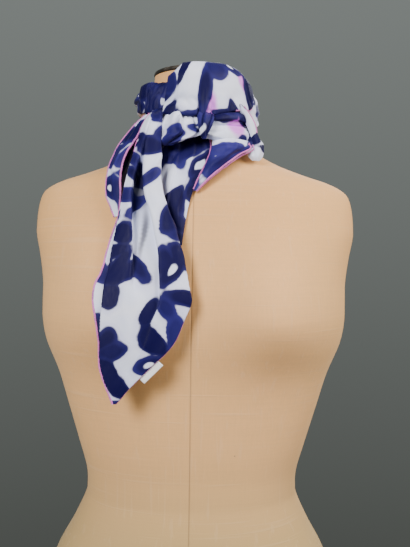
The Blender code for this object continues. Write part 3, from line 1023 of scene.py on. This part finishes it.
def silk_material(silk):
    """Printed silk twill: soft-edged dye on a cool white ground, a fine diagonal weave, with
    painted shade laid grey in its hollows and gaps.
    """
    made = Nodes("printed_silk")
    cloth = made.add("ShaderNodeUVMap", uv_map="cloth").outputs[0]
    wander = made.math("SUBTRACT", made.noise(cloth, 55.0, 1.0), 0.5)
    wander = made.math("MULTIPLY", wander, silk.petal_wander * 2000)
    fringe = made.math("SUBTRACT", made.noise(cloth, 300.0, 1.0, 0.5), 0.5)
    fringe = made.math("MULTIPLY", fringe, 0.4)
    edge = made.math("ADD", wander, fringe)
    ink = made.math("ADD", made.attribute("ink"), edge)
    bare = made.math("ADD", made.attribute("bare"), made.math("MULTIPLY", edge, 0.4))
    rose = made.math("ADD", made.attribute("rose"), made.math("MULTIPLY", wander, 1.2))
    bleed = silk.dye_bleed * 1000
    dyed = made.ramp(ink, -0.5 * bleed, 0.5 * bleed)
    cleared = made.ramp(bare, 0.5 * bleed, -0.5 * bleed)
    dyed = made.math("MULTIPLY", dyed, cleared)
    halo = made.ramp(ink, -3.2 * bleed, -0.2 * bleed)
    halo = made.math("MULTIPLY", made.math("MULTIPLY", halo, cleared), 0.35)
    cloudy = made.noise(cloth, 38.0, 3.0, 0.6)
    ground = made.mix(made.ramp(cloudy, 0.3, 0.75), silk.ground, (0.78, 0.81, 0.97))
    ground = made.mix(halo, ground, silk.halo)
    pink = made.ramp(rose, -3.5, 2.0)
    ground = made.mix(pink, ground, silk.rose)
    # Painted shade: the ground turns dark grey inside the patches of shade, under the dye.
    shade_share = made.ramp(made.attribute("painted_shade"), -1.8, 2.6, 0.0, 0.86)
    ground = made.mix(shade_share, ground, silk.painted_shade)
    streak = made.noise(cloth, 26.0, 2.0, 0.5, (1.0, 0.35, 1.0))
    streak = made.math("MULTIPLY", made.math("SUBTRACT", streak, 0.5), 0.7)
    tone = made.math("ADD", made.attribute("tone"), streak)
    thin = made.ramp(ink, 3.5 * bleed, 0.3 * bleed, 0.0, 0.30)
    tone = made.math("ADD", tone, thin, True)
    dye = made.mix(tone, silk.navy, silk.blue)
    colour = made.mix(dyed, ground, dye)
    twill = made.add("ShaderNodeMapping")
    twill.inputs["Rotation"].default_value = (0.0, 0.0, math.radians(62))
    made.join(cloth, twill.inputs["Vector"])
    weave = made.wave(twill.outputs[0], 420.0, "X", 0.6)
    yarn = made.noise(cloth, 900.0, 2.0, 0.6, (1.0, 0.2, 1.0))
    fine = made.math("ADD", made.math("MULTIPLY", weave, 0.6), made.math("MULTIPLY", yarn, 0.6))
    crepe = made.noise(cloth, 130.0, 3.0, 0.55, (1.0, 0.55, 1.0))
    normal = made.bump(crepe, 0.5, 0.0006)
    normal = made.bump(fine, 0.35, 0.00012, normal)
    gloss = made.ramp(yarn, 0.3, 0.7, 0.50, 0.62)
    return made.surface(Base_Color=colour, Normal=normal, Roughness=gloss,
                        Specular_IOR_Level=0.13, Sheen_Weight=0.04, Sheen_Roughness=0.4)


def hem_material(silk):
    """Rolled pink silk, mottled between a darker and a lighter pink, with dye showing through in
    places.
    """
    made = Nodes("rolled_hem")
    place = made.object_place()
    patch = made.ramp(made.noise(place, 55.0, 2.0), 0.56, 0.70)
    dark = tuple(0.55 * value for value in silk.rose)
    colour = made.mix(made.noise(place, 300.0, 2.0), dark, silk.hem)
    colour = made.mix(made.math("MULTIPLY", patch, 0.45), colour, silk.blue)
    grain = made.bump(made.noise(place, 1400.0, 3.0), 0.5, 0.0002)
    return made.surface(Base_Color=colour, Normal=grain, Roughness=0.6, Sheen_Weight=0.2)


def thread_material():
    made = Nodes("hem_thread")
    place = made.object_place()
    colour = made.mix(made.noise(place, 900.0, 2.0), (0.62, 0.26, 0.52), (0.80, 0.48, 0.72))
    return made.surface(Base_Color=colour, Roughness=0.5)


def linen_material(form):
    """Tan canvas cover: slubs both ways, soft mottling, flecks, a worn darker seam, and painted
    shade darkening it towards the bottom.
    """
    made = Nodes("linen_canvas")
    place = made.object_place()
    mottle = made.noise(place, 7.0, 4.0, 0.55)
    colour = made.mix(made.ramp(mottle, 0.3, 0.7), form.cover_shade, form.cover)
    flush = made.ramp(made.noise(place, 4.0, 1.0), 0.45, 0.75)
    colour = made.mix(made.math("MULTIPLY", flush, 0.4), colour, (0.83, 0.435, 0.200))
    split = made.add("ShaderNodeSeparateXYZ")
    made.join(place, split.inputs[0])
    beside = made.ramp(made.math("ABSOLUTE", split.outputs["X"]), 0.07, 0.18)
    # Painted shade: the canvas turns darker, with a duller olive tint, towards the bottom of the
    # form.
    painted_low_shade = made.ramp(split.outputs["Z"], 0.36, 0.14)
    colour = made.mix(made.math("MULTIPLY", beside, 0.5), colour, (0.86, 0.51, 0.18))
    above = made.ramp(split.outputs["Z"], 0.47, 0.58)
    colour = made.mix(made.math("MULTIPLY", above, 0.5), colour, (0.76, 0.390, 0.135))
    colour = made.mix(painted_low_shade, colour, (0.44, 0.320, 0.140))
    warp = made.noise(place, 1.0, 3.0, 0.6, (520.0, 520.0, 26.0))
    weft = made.noise(place, 1.0, 3.0, 0.6, (20.0, 20.0, 520.0))
    yarns = made.math("ADD", made.math("MULTIPLY", warp, 0.5), made.math("MULTIPLY", weft, 0.5))
    slub = made.noise(place, 1.0, 2.0, 0.5, (210.0, 210.0, 7.0))
    slub = made.ramp(slub, 0.58, 0.72)
    bar = made.ramp(made.noise(place, 1.0, 2.0, 0.5, (6.0, 6.0, 260.0)), 0.60, 0.74)
    shade = made.ramp(yarns, 0.36, 0.64)
    dark = made.mix(0.5, form.cover_shade, (0.28, 0.19, 0.12))
    share = made.math("MULTIPLY", made.math("SUBTRACT", 1.0, shade), 0.16)
    colour = made.mix(share, colour, dark)
    light = (0.80, 0.62, 0.45)
    colour = made.mix(made.math("MULTIPLY", made.math("MAXIMUM", slub, bar), 0.10), colour, light)
    specks = made.add("ShaderNodeTexVoronoi", feature="F1")
    specks.inputs["Scale"].default_value = 42.0
    made.join(place, specks.inputs["Vector"])
    speck = made.ramp(specks.outputs["Distance"], 0.055, 0.02)
    rare = made.ramp(made.noise(place, 30.0, 1.0), 0.60, 0.66)
    speck = made.math("MULTIPLY", made.math("MULTIPLY", speck, rare), 0.55)
    colour = made.mix(speck, colour, (0.22, 0.13, 0.08))
    seam = made.math("MULTIPLY", made.attribute("seam"), 0.5)
    colour = made.mix(seam, colour, (0.13, 0.09, 0.06))
    height = made.math("ADD", yarns, made.math("MULTIPLY", made.math("ADD", slub, bar), 0.5))
    return made.surface(Base_Color=colour, Normal=made.bump(height, 0.55, 0.00035),
                        Roughness=0.86, Specular_IOR_Level=0.2, Sheen_Weight=0.12,
                        Sheen_Roughness=0.5)


def cap_material():
    made = Nodes("bronzed_cap")
    place = made.object_place()
    cloud = made.noise(place, 60.0, 4.0, 0.6)
    colour = made.mix(made.ramp(cloud, 0.35, 0.7), (0.022, 0.018, 0.015), (0.075, 0.06, 0.045))
    rough = made.ramp(cloud, 0.3, 0.8, 0.45, 0.65)
    grain = made.bump(made.noise(place, 500.0, 3.0), 0.2, 0.0003)
    return made.surface(Base_Color=colour, Roughness=rough, Normal=grain, Metallic=0.35)


def label_material():
    made = Nodes("label_satin")
    place = made.object_place()
    ribs = made.wave(place, 700.0, "DIAGONAL", 0.4)
    colour = made.mix(ribs, (0.80, 0.80, 0.82), (0.92, 0.92, 0.93))
    return made.surface(Base_Color=colour, Normal=made.bump(ribs, 0.4, 0.0001),
                        Roughness=0.42, Sheen_Weight=0.1)


def plain_material(name, colour, roughness):
    made = Nodes(name)
    place = made.object_place()
    grain = made.mix(made.noise(place, 3.0, 2.0), colour, tuple(value * 0.97 for value in colour))
    return made.surface(Base_Color=grain, Roughness=roughness)


# ---- settings ----------------------------------------------------------------------------
class FormSettings(bpy.types.PropertyGroup):
    cover: bpy.props.FloatVectorProperty(
        name="Cover", description="Canvas in the light", subtype="COLOR",
        default=(0.85, 0.470, 0.195))
    cover_shade: bpy.props.FloatVectorProperty(
        name="Cover shade", description="Canvas where it is duller", subtype="COLOR",
        default=(0.80, 0.445, 0.180))
    seam_width: bpy.props.FloatProperty(
        name="Seam width", description="Width of the cover's sunk seams", unit="LENGTH",
        default=0.0006)
    seam_depth: bpy.props.FloatProperty(
        name="Seam depth", description="How far the seams are sunk", unit="LENGTH",
        default=0.0004)


class SilkSettings(bpy.types.PropertyGroup):
    wall: bpy.props.FloatProperty(
        name="Wall", description="Thickness of the silk", unit="LENGTH", default=0.0004)
    ripple: bpy.props.FloatProperty(
        name="Ripple", description="Height of the silk's small unevenness", unit="LENGTH",
        default=0.0004)
    ground: bpy.props.FloatVectorProperty(
        name="Ground", description="Undyed silk", subtype="COLOR", default=(0.71, 0.76, 0.97))
    navy: bpy.props.FloatVectorProperty(
        name="Navy", description="Full dye", subtype="COLOR", default=(0.0030, 0.0014, 0.046))
    blue: bpy.props.FloatVectorProperty(
        name="Blue", description="Thinner dye", subtype="COLOR", default=(0.033, 0.028, 0.210))
    halo: bpy.props.FloatVectorProperty(
        name="Halo", description="Tint round the dye's edge", subtype="COLOR",
        default=(0.44, 0.43, 0.74))
    rose: bpy.props.FloatVectorProperty(
        name="Rose", description="Lilac patches", subtype="COLOR", default=(0.72, 0.23, 0.84))
    # Colour of the painted shade in the hollows and gaps of the silk.
    painted_shade: bpy.props.FloatVectorProperty(
        name="PaintedShade", description="Grey wash in the turned-in parts", subtype="COLOR",
        default=(0.10, 0.10, 0.13))
    hem: bpy.props.FloatVectorProperty(
        name="Hem", description="Rolled hem", subtype="COLOR", default=(0.80, 0.15, 0.50))
    petal_wander: bpy.props.FloatProperty(
        name="Petal wander", description="How far a petal's outline wanders", unit="LENGTH",
        default=0.0026)
    dye_bleed: bpy.props.FloatProperty(
        name="Dye bleed", description="Width of the dye's soft edge", unit="LENGTH",
        default=0.0015)
    hem_radius: bpy.props.FloatProperty(
        name="Hem radius", description="Radius of the rolled hem", unit="LENGTH",
        default=0.00105)
    stitch_gap: bpy.props.FloatProperty(
        name="Stitch gap", description="Distance between hem stitches", unit="LENGTH",
        default=0.0042)


class StageSettings(bpy.types.PropertyGroup):
    camera_place: bpy.props.FloatVectorProperty(
        name="Camera place", description="Where the camera stands", subtype="TRANSLATION",
        default=(0.0187, -0.7658, 0.498))
    camera_turn: bpy.props.FloatVectorProperty(
        name="Camera turn", description="How the camera is turned", subtype="EULER",
        default=(math.radians(90.0), math.radians(-0.8), math.radians(0.45)))
    lens: bpy.props.FloatProperty(
        name="Lens", description="Focal length in millimetres", default=42.0)
    key_power: bpy.props.FloatProperty(
        name="Key power", description="Power of the main soft light", subtype="POWER", default=28.5)
    fill_power: bpy.props.FloatProperty(
        name="Fill power", description="Power of the fill light", subtype="POWER", default=37.0)


# ---- hems --------------------------------------------------------------------------------
def socket_id(tree, name):
    for item in tree.interface.items_tree:
        if item.item_type == "SOCKET" and item.in_out == "INPUT" and item.name == name:
            return item.identifier
    raise RuntimeError(f"no input called {name}")


def hem_tree(roll_finish, thread_finish):
    """A rolled hem along a line of edges, with slanting overcast stitches round it."""
    tree = bpy.data.node_groups.new("rolled_hem", "GeometryNodeTree")
    face = tree.interface
    face.new_socket("Geometry", in_out="INPUT", socket_type="NodeSocketGeometry")
    for name in ("Roll radius", "Stitch gap", "Thread radius"):
        face.new_socket(name, in_out="INPUT", socket_type="NodeSocketFloat")
    face.new_socket("Seed", in_out="INPUT", socket_type="NodeSocketInt")
    face.new_socket("Geometry", in_out="OUTPUT", socket_type="NodeSocketGeometry")

    def add(kind, sockets, **settings):
        node = tree.nodes.new(kind)
        for key, value in settings.items():
            setattr(node, key, value)
        for key, value in sockets.items():
            if isinstance(value, bpy.types.NodeSocket):
                tree.links.new(value, node.inputs[key])
            else:
                node.inputs[key].default_value = value
        return node

    entry = add("NodeGroupInput", {}).outputs
    to_curve = add("GeometryNodeMeshToCurve", {0: entry["Geometry"]})
    roll_line = add("GeometryNodeResampleCurve",
                    {"Curve": to_curve.outputs[0], "Length": 0.0013}, mode="LENGTH")

    wobble = add("ShaderNodeTexNoise", {"Scale": 160.0, "Detail": 1.0}, noise_dimensions="4D")
    tree.links.new(entry["Seed"], wobble.inputs["W"])
    centred = add("ShaderNodeVectorMath", {0: wobble.outputs["Color"], 1: (0.5, 0.5, 0.5)},
                  operation="SUBTRACT")
    shift = add("ShaderNodeVectorMath", {0: centred.outputs[0]}, operation="SCALE")
    shift.inputs["Scale"].default_value = 0.0011
    place = add("GeometryNodeSetPosition",
                {"Geometry": roll_line.outputs[0], "Offset": shift.outputs[0]})

    ring = add("GeometryNodeCurvePrimitiveCircle",
               {"Resolution": 9, "Radius": entry["Roll radius"]})
    roll = add("GeometryNodeCurveToMesh", {"Curve": place.outputs[0],
                                           "Profile Curve": ring.outputs[0], "Fill Caps": True})
    smooth = add("GeometryNodeSetShadeSmooth", {0: roll.outputs[0]})
    roll_cover = add("GeometryNodeSetMaterial",
                     {"Geometry": smooth.outputs[0], "Material": roll_finish})

    spaced = add("GeometryNodeResampleCurve",
                 {"Curve": place.outputs[0], "Length": entry["Stitch gap"]}, mode="LENGTH")
    points = add("GeometryNodeCurveToPoints", {"Curve": spaced.outputs[0]}, mode="EVALUATED")

    loop_radius = add("ShaderNodeMath", {0: entry["Roll radius"], 1: 1.05}, operation="MULTIPLY")
    loop = add("GeometryNodeCurvePrimitiveCircle",
               {"Resolution": 10, "Radius": loop_radius.outputs[0]})
    thread = add("GeometryNodeCurvePrimitiveCircle",
                 {"Resolution": 4, "Radius": entry["Thread radius"]})
    stitch = add("GeometryNodeCurveToMesh",
                 {"Curve": loop.outputs[0], "Profile Curve": thread.outputs[0]})
    slant = add("GeometryNodeTransform",
                {"Geometry": stitch.outputs[0],
                 "Rotation": Euler((math.radians(32), math.radians(12), 0.0))})
    turn = add("FunctionNodeRandomValue",
               {0: (-0.16, -0.16, -0.4), 1: (0.16, 0.16, 0.4), "Seed": entry["Seed"]},
               data_type="FLOAT_VECTOR")
    spread = add("FunctionNodeEulerToRotation", {0: turn.outputs[0]})
    aim = add("FunctionNodeRotateRotation",
              {"Rotation": points.outputs["Rotation"], "Rotate By": spread.outputs[0]},
              rotation_space="LOCAL")
    sewn = add("GeometryNodeInstanceOnPoints",
               {"Points": points.outputs["Points"], "Instance": slant.outputs[0],
                "Rotation": aim.outputs[0]})
    real = add("GeometryNodeRealizeInstances", {0: sewn.outputs[0]})
    thread_cover = add("GeometryNodeSetMaterial",
                       {"Geometry": real.outputs[0], "Material": thread_finish})

    both = add("GeometryNodeJoinGeometry", {0: thread_cover.outputs[0]})
    tree.links.new(roll_cover.outputs[0], both.inputs[0])
    add("NodeGroupOutput", {"Geometry": both.outputs[0]})
    return tree


def hem_piece(name, line, tree, silk, seed):
    """Run the hem tree along a line of points and keep the result as a plain mesh."""
    path = bpy.data.meshes.new(name + "_path")
    points = [point * MM for point in line]
    path.from_pydata(points, [(i, i + 1) for i in range(len(points) - 1)], [])
    guide = bpy.data.objects.new(name + "_path", path)
    bpy.context.scene.collection.objects.link(guide)
    modifier = guide.modifiers.new("hem", "NODES")
    modifier.node_group = tree
    modifier[socket_id(tree, "Roll radius")] = silk.hem_radius
    modifier[socket_id(tree, "Stitch gap")] = silk.stitch_gap
    modifier[socket_id(tree, "Thread radius")] = THREAD_RADIUS
    modifier[socket_id(tree, "Seed")] = seed
    ready = guide.evaluated_get(bpy.context.evaluated_depsgraph_get())
    mesh = bpy.data.meshes.new_from_object(ready)
    mesh.name = name
    made = bpy.data.objects.new(name, mesh)
    bpy.context.scene.collection.objects.link(made)
    bpy.data.objects.remove(guide)
    bpy.data.meshes.remove(path)
    return made


# ---- operators ---------------------------------------------------------------------------
def lodge(piece, slot, *nodes):
    """Every piece rides on the one body and stands for its nodes; its slot is not used."""
    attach(piece, "root")
    if nodes:
        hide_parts(*nodes)
    return piece


def stretch(name, grid, pattern, turned=False):
    """Make a stretch of silk from its middle surface, and keep the surface for its hems."""
    silk = bpy.context.scene.scarf_silk
    if "printed_silk" not in bpy.data.materials:
        silk_material(silk)
    GRIDS[name] = (grid, turned)
    finish = bpy.data.materials["printed_silk"]
    return cloth_piece(name, grid, pattern, turned, silk.wall / MM, finish)


def build(context, sizes, first_seed, turned=False, over_chest=False):
    """Make stretches from their names, tables, sections, rows and columns."""
    ripple = context.scene.scarf_silk.ripple / MM
    for index, (name, table, section, rows, columns) in enumerate(sizes):
        grid = lattice(table, section, rows, columns)
        grid = press(grid, name, turned, ripple, first_seed + index * SEED_STEP)
        if over_chest:
            grid = rest_on_chest(grid)
        nodes = () if name in NO_SOLID else (name,)
        lodge(stretch("silk_" + name, grid, name, turned), "silk", *nodes)


def ring_points(ring, angles, sink, width):
    """One level ring of the form, with how strongly each point lies on a seam."""
    lean = NECK_LEAN * max(ring.z - NECK_LEAN_FROM, 0) / (NECK_TOP - NECK_LEAN_FROM)
    power = 2.0 / ring.squareness
    made = []
    for angle in angles:
        cosine, sine = math.cos(angle), math.sin(angle)
        x = ring.half_width * math.copysign(abs(cosine) ** power, cosine)
        share = abs(sine) ** power
        if sine < 0:
            y = -(ring.front * share + bust(x, ring.z) * math.sqrt(share))
        else:
            y = ring.back * share
        away = min(abs(x), abs(y)) if ring.z < SHOULDER else abs(x)
        seam = math.exp(-((away / width) ** 2))
        inward = 1.0 - sink * seam / max(math.hypot(x, y), 1.0)
        made.append((Vector((x * inward, y * inward, ring.z + lean * y)), seam))
    return made


class SCARF_OT_form(bpy.types.Operator):
    """Build the linen-covered form and the cap that closes its neck."""

    bl_idname = "scarf.form"
    bl_label = "Dress form"

    def execute(self, context):
        settings = context.scene.scarf_form
        width, sink = settings.seam_width / MM, settings.seam_depth / MM
        angles = [2 * math.pi * step / TORSO_STEPS for step in range(TORSO_STEPS)]
        for quarter in range(4):
            for offset in SEAM_OFFSETS:
                angles.append((quarter * math.pi / 2 + offset) % (2 * math.pi))
                angles.append((quarter * math.pi / 2 - offset) % (2 * math.pi))
        angles.sort()
        body = bmesh.new()
        seam_layer = body.verts.layers.float.new("seam")
        rings = []
        last = len(TORSO_RINGS) - 1
        for step in range(TORSO_ROWS + 1):
            ring = []
            row = blend(TORSO_RINGS, last * step / TORSO_ROWS)
            for point, seam in ring_points(row, angles, sink, width):
                vert = body.verts.new(point * MM)
                vert[seam_layer] = seam
                ring.append(vert)
            rings.append(ring)
        count = len(angles)
        for low, high in zip(rings, rings[1:]):
            for i in range(count):
                j = (i + 1) % count
                body.faces.new((low[i], low[j], high[j], high[i]))
        body.faces.new(list(reversed(rings[0])))
        body.faces.new(rings[-1])
        bmesh.ops.recalc_face_normals(body, faces=body.faces)
        made = finish_mesh("linen_cover", body, linen_material(settings))
        lodge(made, "linen", "form_torso")
        self.cap()
        return {"FINISHED"}

    def cap(self):
        """A turned disc with a rounded edge and a shallow dish in its top."""
        radius = neck_radius(NECK_TOP) + 1.0
        bottom = NECK_TOP + 0.3
        profile = ((0.0, 0.0), (radius - 3.0, 0.0), (radius - 1.2, 0.25), (radius - 0.3, 1.1),
                   (radius, 2.4), (radius - 0.1, 3.6), (radius - 0.8, 4.7), (radius - 2.0, 5.35),
                   (radius - 3.6, 5.5), (radius - 5.0, 5.3), (radius - 6.5, 4.6),
                   (radius - 9.0, 4.4), (20.0, 4.4), (0.0, 4.5))
        body = bmesh.new()
        rings = []
        for r, up in profile:
            ring = []
            for step in range(CAP_STEPS if r else 1):
                angle = 2 * math.pi * step / CAP_STEPS
                y = NECK_CENTRE_Y + r * math.sin(angle)
                point = Vector((r * math.cos(angle), y, bottom + up + NECK_LEAN * y))
                ring.append(body.verts.new(point * MM))
            rings.append(ring)
        for low, high in zip(rings, rings[1:]):
            for i in range(CAP_STEPS):
                j = (i + 1) % CAP_STEPS
                if len(low) == 1:
                    body.faces.new((low[0], high[i], high[j]))
                elif len(high) == 1:
                    body.faces.new((low[i], low[j], high[0]))
                else:
                    body.faces.new((low[i], low[j], high[j], high[i]))
        bmesh.ops.recalc_face_normals(body, faces=body.faces)
        made = finish_mesh("neck_cap", body, cap_material())
        lodge(made, "cap", "form_neck_cap")


class SCARF_OT_wraps(bpy.types.Operator):
    """Build the three stretches that go round the neck."""

    bl_idname = "scarf.wraps"
    bl_label = "Wraps"

    def execute(self, context):
        build(context, (("wrap_back", WRAP_BACK, turn_section, 300, 70),
                        ("wrap_left", WRAP_LEFT, turn_section, 140, 80),
                        ("wrap_front", WRAP_FRONT, turn_section, 200, 130)), 3.0, turned=True)
        grid = GRIDS["silk_wrap_front"][0]
        lip = [min(line, key=lambda point: point.z) for line in grid]
        start, end = int(0.66 * len(lip)), int(0.99 * len(lip))
        EDGES["hem_wrap_front"] = ("silk_wrap_front", lip[start:end])
        return {"FINISHED"}


class SCARF_OT_knot(bpy.types.Operator):
    """Build the knot: its big fold, the gathered loop, the band and the short end."""

    bl_idname = "scarf.knot"
    bl_label = "Knot"

    def execute(self, context):
        build(context, (("end_right", END_RIGHT, drop_section, 70, 50),
                        ("knot_left", KNOT_LEFT, drop_section, 130, 120),
                        ("knot_loop", KNOT_LOOP, drop_section, 90, 60)), 41.0)
        build(context, (("band_right", BAND_RIGHT, band_section, 140, 90),), 83.0, turned=True)
        return {"FINISHED"}


class SCARF_OT_tails(bpy.types.Operator):
    """Build the hanging ends: the long end, the stretch behind it and the two flaps."""

    bl_idname = "scarf.tails"
    bl_label = "Hanging ends"

    def execute(self, context):
        build(context, (("tail_back", TAIL_BACK, drop_section, 150, 70),
                        ("flap_under", FLAP_UNDER, drop_section, 80, 36),
                        ("flap_left", FLAP_LEFT, drop_section, 150, 44),
                        ("flap_right", FLAP_RIGHT, drop_section, 110, 110),
                        ("corner_right", CORNER_RIGHT, drop_section, 60, 30),
                        ("tail_front", TAIL_FRONT, tail_section, 280, 130)),
              101.0, over_chest=True)
        self.edges()
        return {"FINISHED"}

    def edges(self):
        tail = GRIDS["silk_tail_front"][0]
        left = [line[0] for line in tail if line[0].z < 548.0]
        right = [line[-1] for line in tail if line[-1].z < 474.0]
        EDGES["hem_tail_left"] = ("silk_tail_front", left)
        EDGES["hem_tail_right"] = ("silk_tail_front", right)
        upper = [line[0] for line in tail if 548.0 <= line[0].z < 655.0]
        EDGES["hem_tail_upper"] = ("silk_tail_front", upper)
        corner = GRIDS["silk_corner_right"][0]
        EDGES["hem_corner_right"] = ("silk_corner_right", [line[-1] for line in corner])
        back = GRIDS["silk_tail_back"][0]
        upper = [line[-1] for line in back if line[-1].z > 588.0]
        EDGES["hem_tail_back"] = ("silk_tail_back", upper)
        flap = GRIDS["silk_flap_left"][0]
        EDGES["hem_flap_left"] = ("silk_flap_left", [line[0] for line in flap])
        EDGES["hem_flap_inner"] = ("silk_flap_left", [line[-1] for line in flap])
        flap = GRIDS["silk_flap_right"][0]
        low = [line[-1] for line in flap if line[-1].z < 640.0]
        EDGES["hem_flap_right"] = ("silk_flap_right", low)
        inner = []
        for line in flap[10:-6]:
            inner.append(line[-14] + Vector((0.0, -0.8, 0.0)))
        EDGES["hem_flap_double"] = ("silk_flap_right", inner)


class SCARF_OT_hems(bpy.types.Operator):
    """Roll and overcast the silk's cut edges, then work out the flat cut of every stretch."""

    bl_idname = "scarf.hems"
    bl_label = "Rolled hems"

    def execute(self, context):
        silk = context.scene.scarf_silk
        tree = hem_tree(hem_material(silk), thread_material())
        hems = {}
        for seed, (name, (owner, line)) in enumerate(EDGES.items()):
            made = hem_piece(name, line, tree, silk, seed)
            lodge(made, "silk")
            hems.setdefault(owner, []).append(made)
        rests = {
            "silk_wrap_back": ("draped", ["linen_cover"]),
            "silk_wrap_left": ("gathered", ["silk_wrap_back", "linen_cover"]),
            "silk_wrap_front": ("gathered", ["silk_wrap_back", "linen_cover"]),
            "silk_band_right": ("folded", ["silk_wrap_back", "silk_knot_left"]),
            "silk_knot_left": ("folded", ["silk_wrap_front"]),
            "silk_knot_loop": ("gathered", ["silk_band_right"]),
            "silk_end_right": ("hung", ["silk_band_right"]),
            "silk_tail_back": ("hung", ["silk_knot_left", "linen_cover"]),
            "silk_tail_front": ("hung", ["silk_knot_left", "linen_cover"]),
            "silk_flap_left": ("hung", ["silk_tail_front"]),
            "silk_flap_under": ("hung", ["silk_flap_left"]),
            "silk_corner_right": ("hung", ["silk_band_right", "silk_wrap_back"]),
            "silk_flap_right": ("hung", ["silk_knot_loop", "linen_cover"]),
        }
        for name, (held, under) in rests.items():
            grid, turned = GRIDS[name]
            size, area = flat_size(grid, turned)
        return {"FINISHED"}


class SCARF_OT_label(bpy.types.Operator):
    """Build the blank care label, a folded satin slip sewn behind the hem."""

    bl_idname = "scarf.label"
    bl_label = "Care label"

    def execute(self, context):
        corners = [Vector((x, 0.0, z)) for x, z in LABEL_CORNERS]
        finish = label_material()
        rows, columns = 26, 18
        body = bmesh.new()
        sheets = []
        for layer in range(2):
            grid = []
            for i in range(rows):
                down = i / (rows - 1)
                line = []
                for j in range(columns):
                    across = j / (columns - 1)
                    top = corners[0].lerp(corners[1], across)
                    low = corners[3].lerp(corners[2], across)
                    point = top.lerp(low, down)
                    curl = 0.5 * across ** 2 * math.sin(math.pi * (0.2 + 0.7 * down))
                    apart = 0.45 * layer * math.sin(math.pi * min(across * 1.6, 1.0) / 2)
                    point.y = -(LABEL_OUT + 0.25 + curl - 0.35 * layer - apart)
                    line.append(point)
                grid.append(line)
            sheets.append(grid)
        verts = [[[body.verts.new(p * MM) for p in line] for line in grid] for grid in sheets]
        closed_wall(body, *verts)
        made = finish_mesh("care_slip", body, finish)
        lodge(made, "label", "care_label")
        size, area = flat_size(sheets[0], False)
        return {"FINISHED"}


class SCARF_OT_stage(bpy.types.Operator):
    """Set the floor, the soft lights, the grey surroundings and the camera."""

    bl_idname = "scarf.stage"
    bl_label = "Stage"

    def execute(self, context):
        settings = context.scene.scarf_stage
        scene = context.scene
        body = bmesh.new()
        bmesh.ops.create_circle(body, cap_ends=True, segments=96, radius=0.46)
        floor = finish_mesh("floor", body, plain_material("floor_paper", (0.36, 0.36, 0.35), 0.9))
        floor.location.z = -0.0005

        world = bpy.data.worlds.new("studio")
        world.use_nodes = True
        surround = world.node_tree.nodes["Background"]
        way = world.node_tree.nodes.new("ShaderNodeTexCoord")
        height = world.node_tree.nodes.new("ShaderNodeSeparateXYZ")
        shade = world.node_tree.nodes.new("ShaderNodeValToRGB")
        level = world.node_tree.nodes.new("ShaderNodeMapRange")
        level.inputs["From Min"].default_value = -0.42
        level.inputs["From Max"].default_value = 0.42
        shade.color_ramp.elements[0].color = (*SURROUND_LOW, 1.0)
        shade.color_ramp.elements[1].color = (*SURROUND_HIGH, 1.0)
        world.node_tree.links.new(way.outputs["Generated"], height.inputs[0])
        world.node_tree.links.new(height.outputs["Z"], level.inputs["Value"])
        world.node_tree.links.new(level.outputs[0], shade.inputs["Fac"])
        world.node_tree.links.new(shade.outputs["Color"], surround.inputs["Color"])
        surround.inputs["Strength"].default_value = 1.0
        scene.world = world

        def light(name, place, aim, size, power, colour):
            data = bpy.data.lights.new(name, "AREA")
            data.shape = "SQUARE"
            data.size = size
            data.energy = power
            data.color = colour
            made = bpy.data.objects.new(name, data)
            made.location = place
            way = Vector(aim) - Vector(place)
            made.rotation_euler = way.to_track_quat("-Z", "Y").to_euler()
            scene.collection.objects.link(made)

        light("key_light", (-0.66, -1.32, 1.02), (0.0, 0.0, 0.50), 0.5,
              settings.key_power, (1.0, 0.97, 0.94))
        light("fill_light", (1.15, -0.60, 1.40), (0.05, 0.0, 0.54), 1.0,
              settings.fill_power, (1.0, 0.94, 0.87))
        light("rim_light", (0.3, 1.3, 1.2), (0.0, 0.0, 0.6), 1.0,
              0.5 * settings.fill_power, (0.95, 0.97, 1.0))

        data = bpy.data.cameras.new("camera")
        data.lens = settings.lens
        data.sensor_width = 36.0
        data.clip_start = 0.01
        made = bpy.data.objects.new("camera", data)
        made.location = settings.camera_place
        made.rotation_euler = settings.camera_turn
        scene.collection.objects.link(made)
        scene.camera = made
        return {"FINISHED"}


class SCARF_PT_panel(bpy.types.Panel):
    """The scarf's builders, in the order they run."""

    bl_idname = "SCARF_PT_panel"
    bl_label = "Silk scarf"
    bl_space_type = "VIEW_3D"
    bl_region_type = "UI"
    bl_category = "Silk Scarf"

    def draw(self, context):
        column = self.layout.column()
        for kind in OPERATORS:
            column.operator(kind.bl_idname)
        for group in (context.scene.scarf_form, context.scene.scarf_silk,
                      context.scene.scarf_stage):
            for name in group.bl_rna.properties.keys():
                if name not in ("rna_type", "name"):
                    column.prop(group, name)


OPERATORS = (SCARF_OT_form, SCARF_OT_wraps, SCARF_OT_knot, SCARF_OT_tails, SCARF_OT_hems,
             SCARF_OT_label, SCARF_OT_stage)
SETTINGS = (FormSettings, SilkSettings, StageSettings)


def register():
    for kind in SETTINGS + OPERATORS + (SCARF_PT_panel,):
        bpy.utils.register_class(kind)
    bpy.types.Scene.scarf_form = bpy.props.PointerProperty(type=FormSettings)
    bpy.types.Scene.scarf_silk = bpy.props.PointerProperty(type=SilkSettings)
    bpy.types.Scene.scarf_stage = bpy.props.PointerProperty(type=StageSettings)


def unregister():
    del bpy.types.Scene.scarf_form
    del bpy.types.Scene.scarf_silk
    del bpy.types.Scene.scarf_stage
    for kind in reversed(SETTINGS + OPERATORS + (SCARF_PT_panel,)):
        bpy.utils.unregister_class(kind)


def main():
    register()
    bpy.ops.scarf.form()
    bpy.ops.scarf.wraps()
    bpy.ops.scarf.knot()
    bpy.ops.scarf.tails()
    bpy.ops.scarf.hems()
    bpy.ops.scarf.label()
    bpy.ops.scarf.stage()
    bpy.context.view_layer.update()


if __name__ == "__main__":
    main()
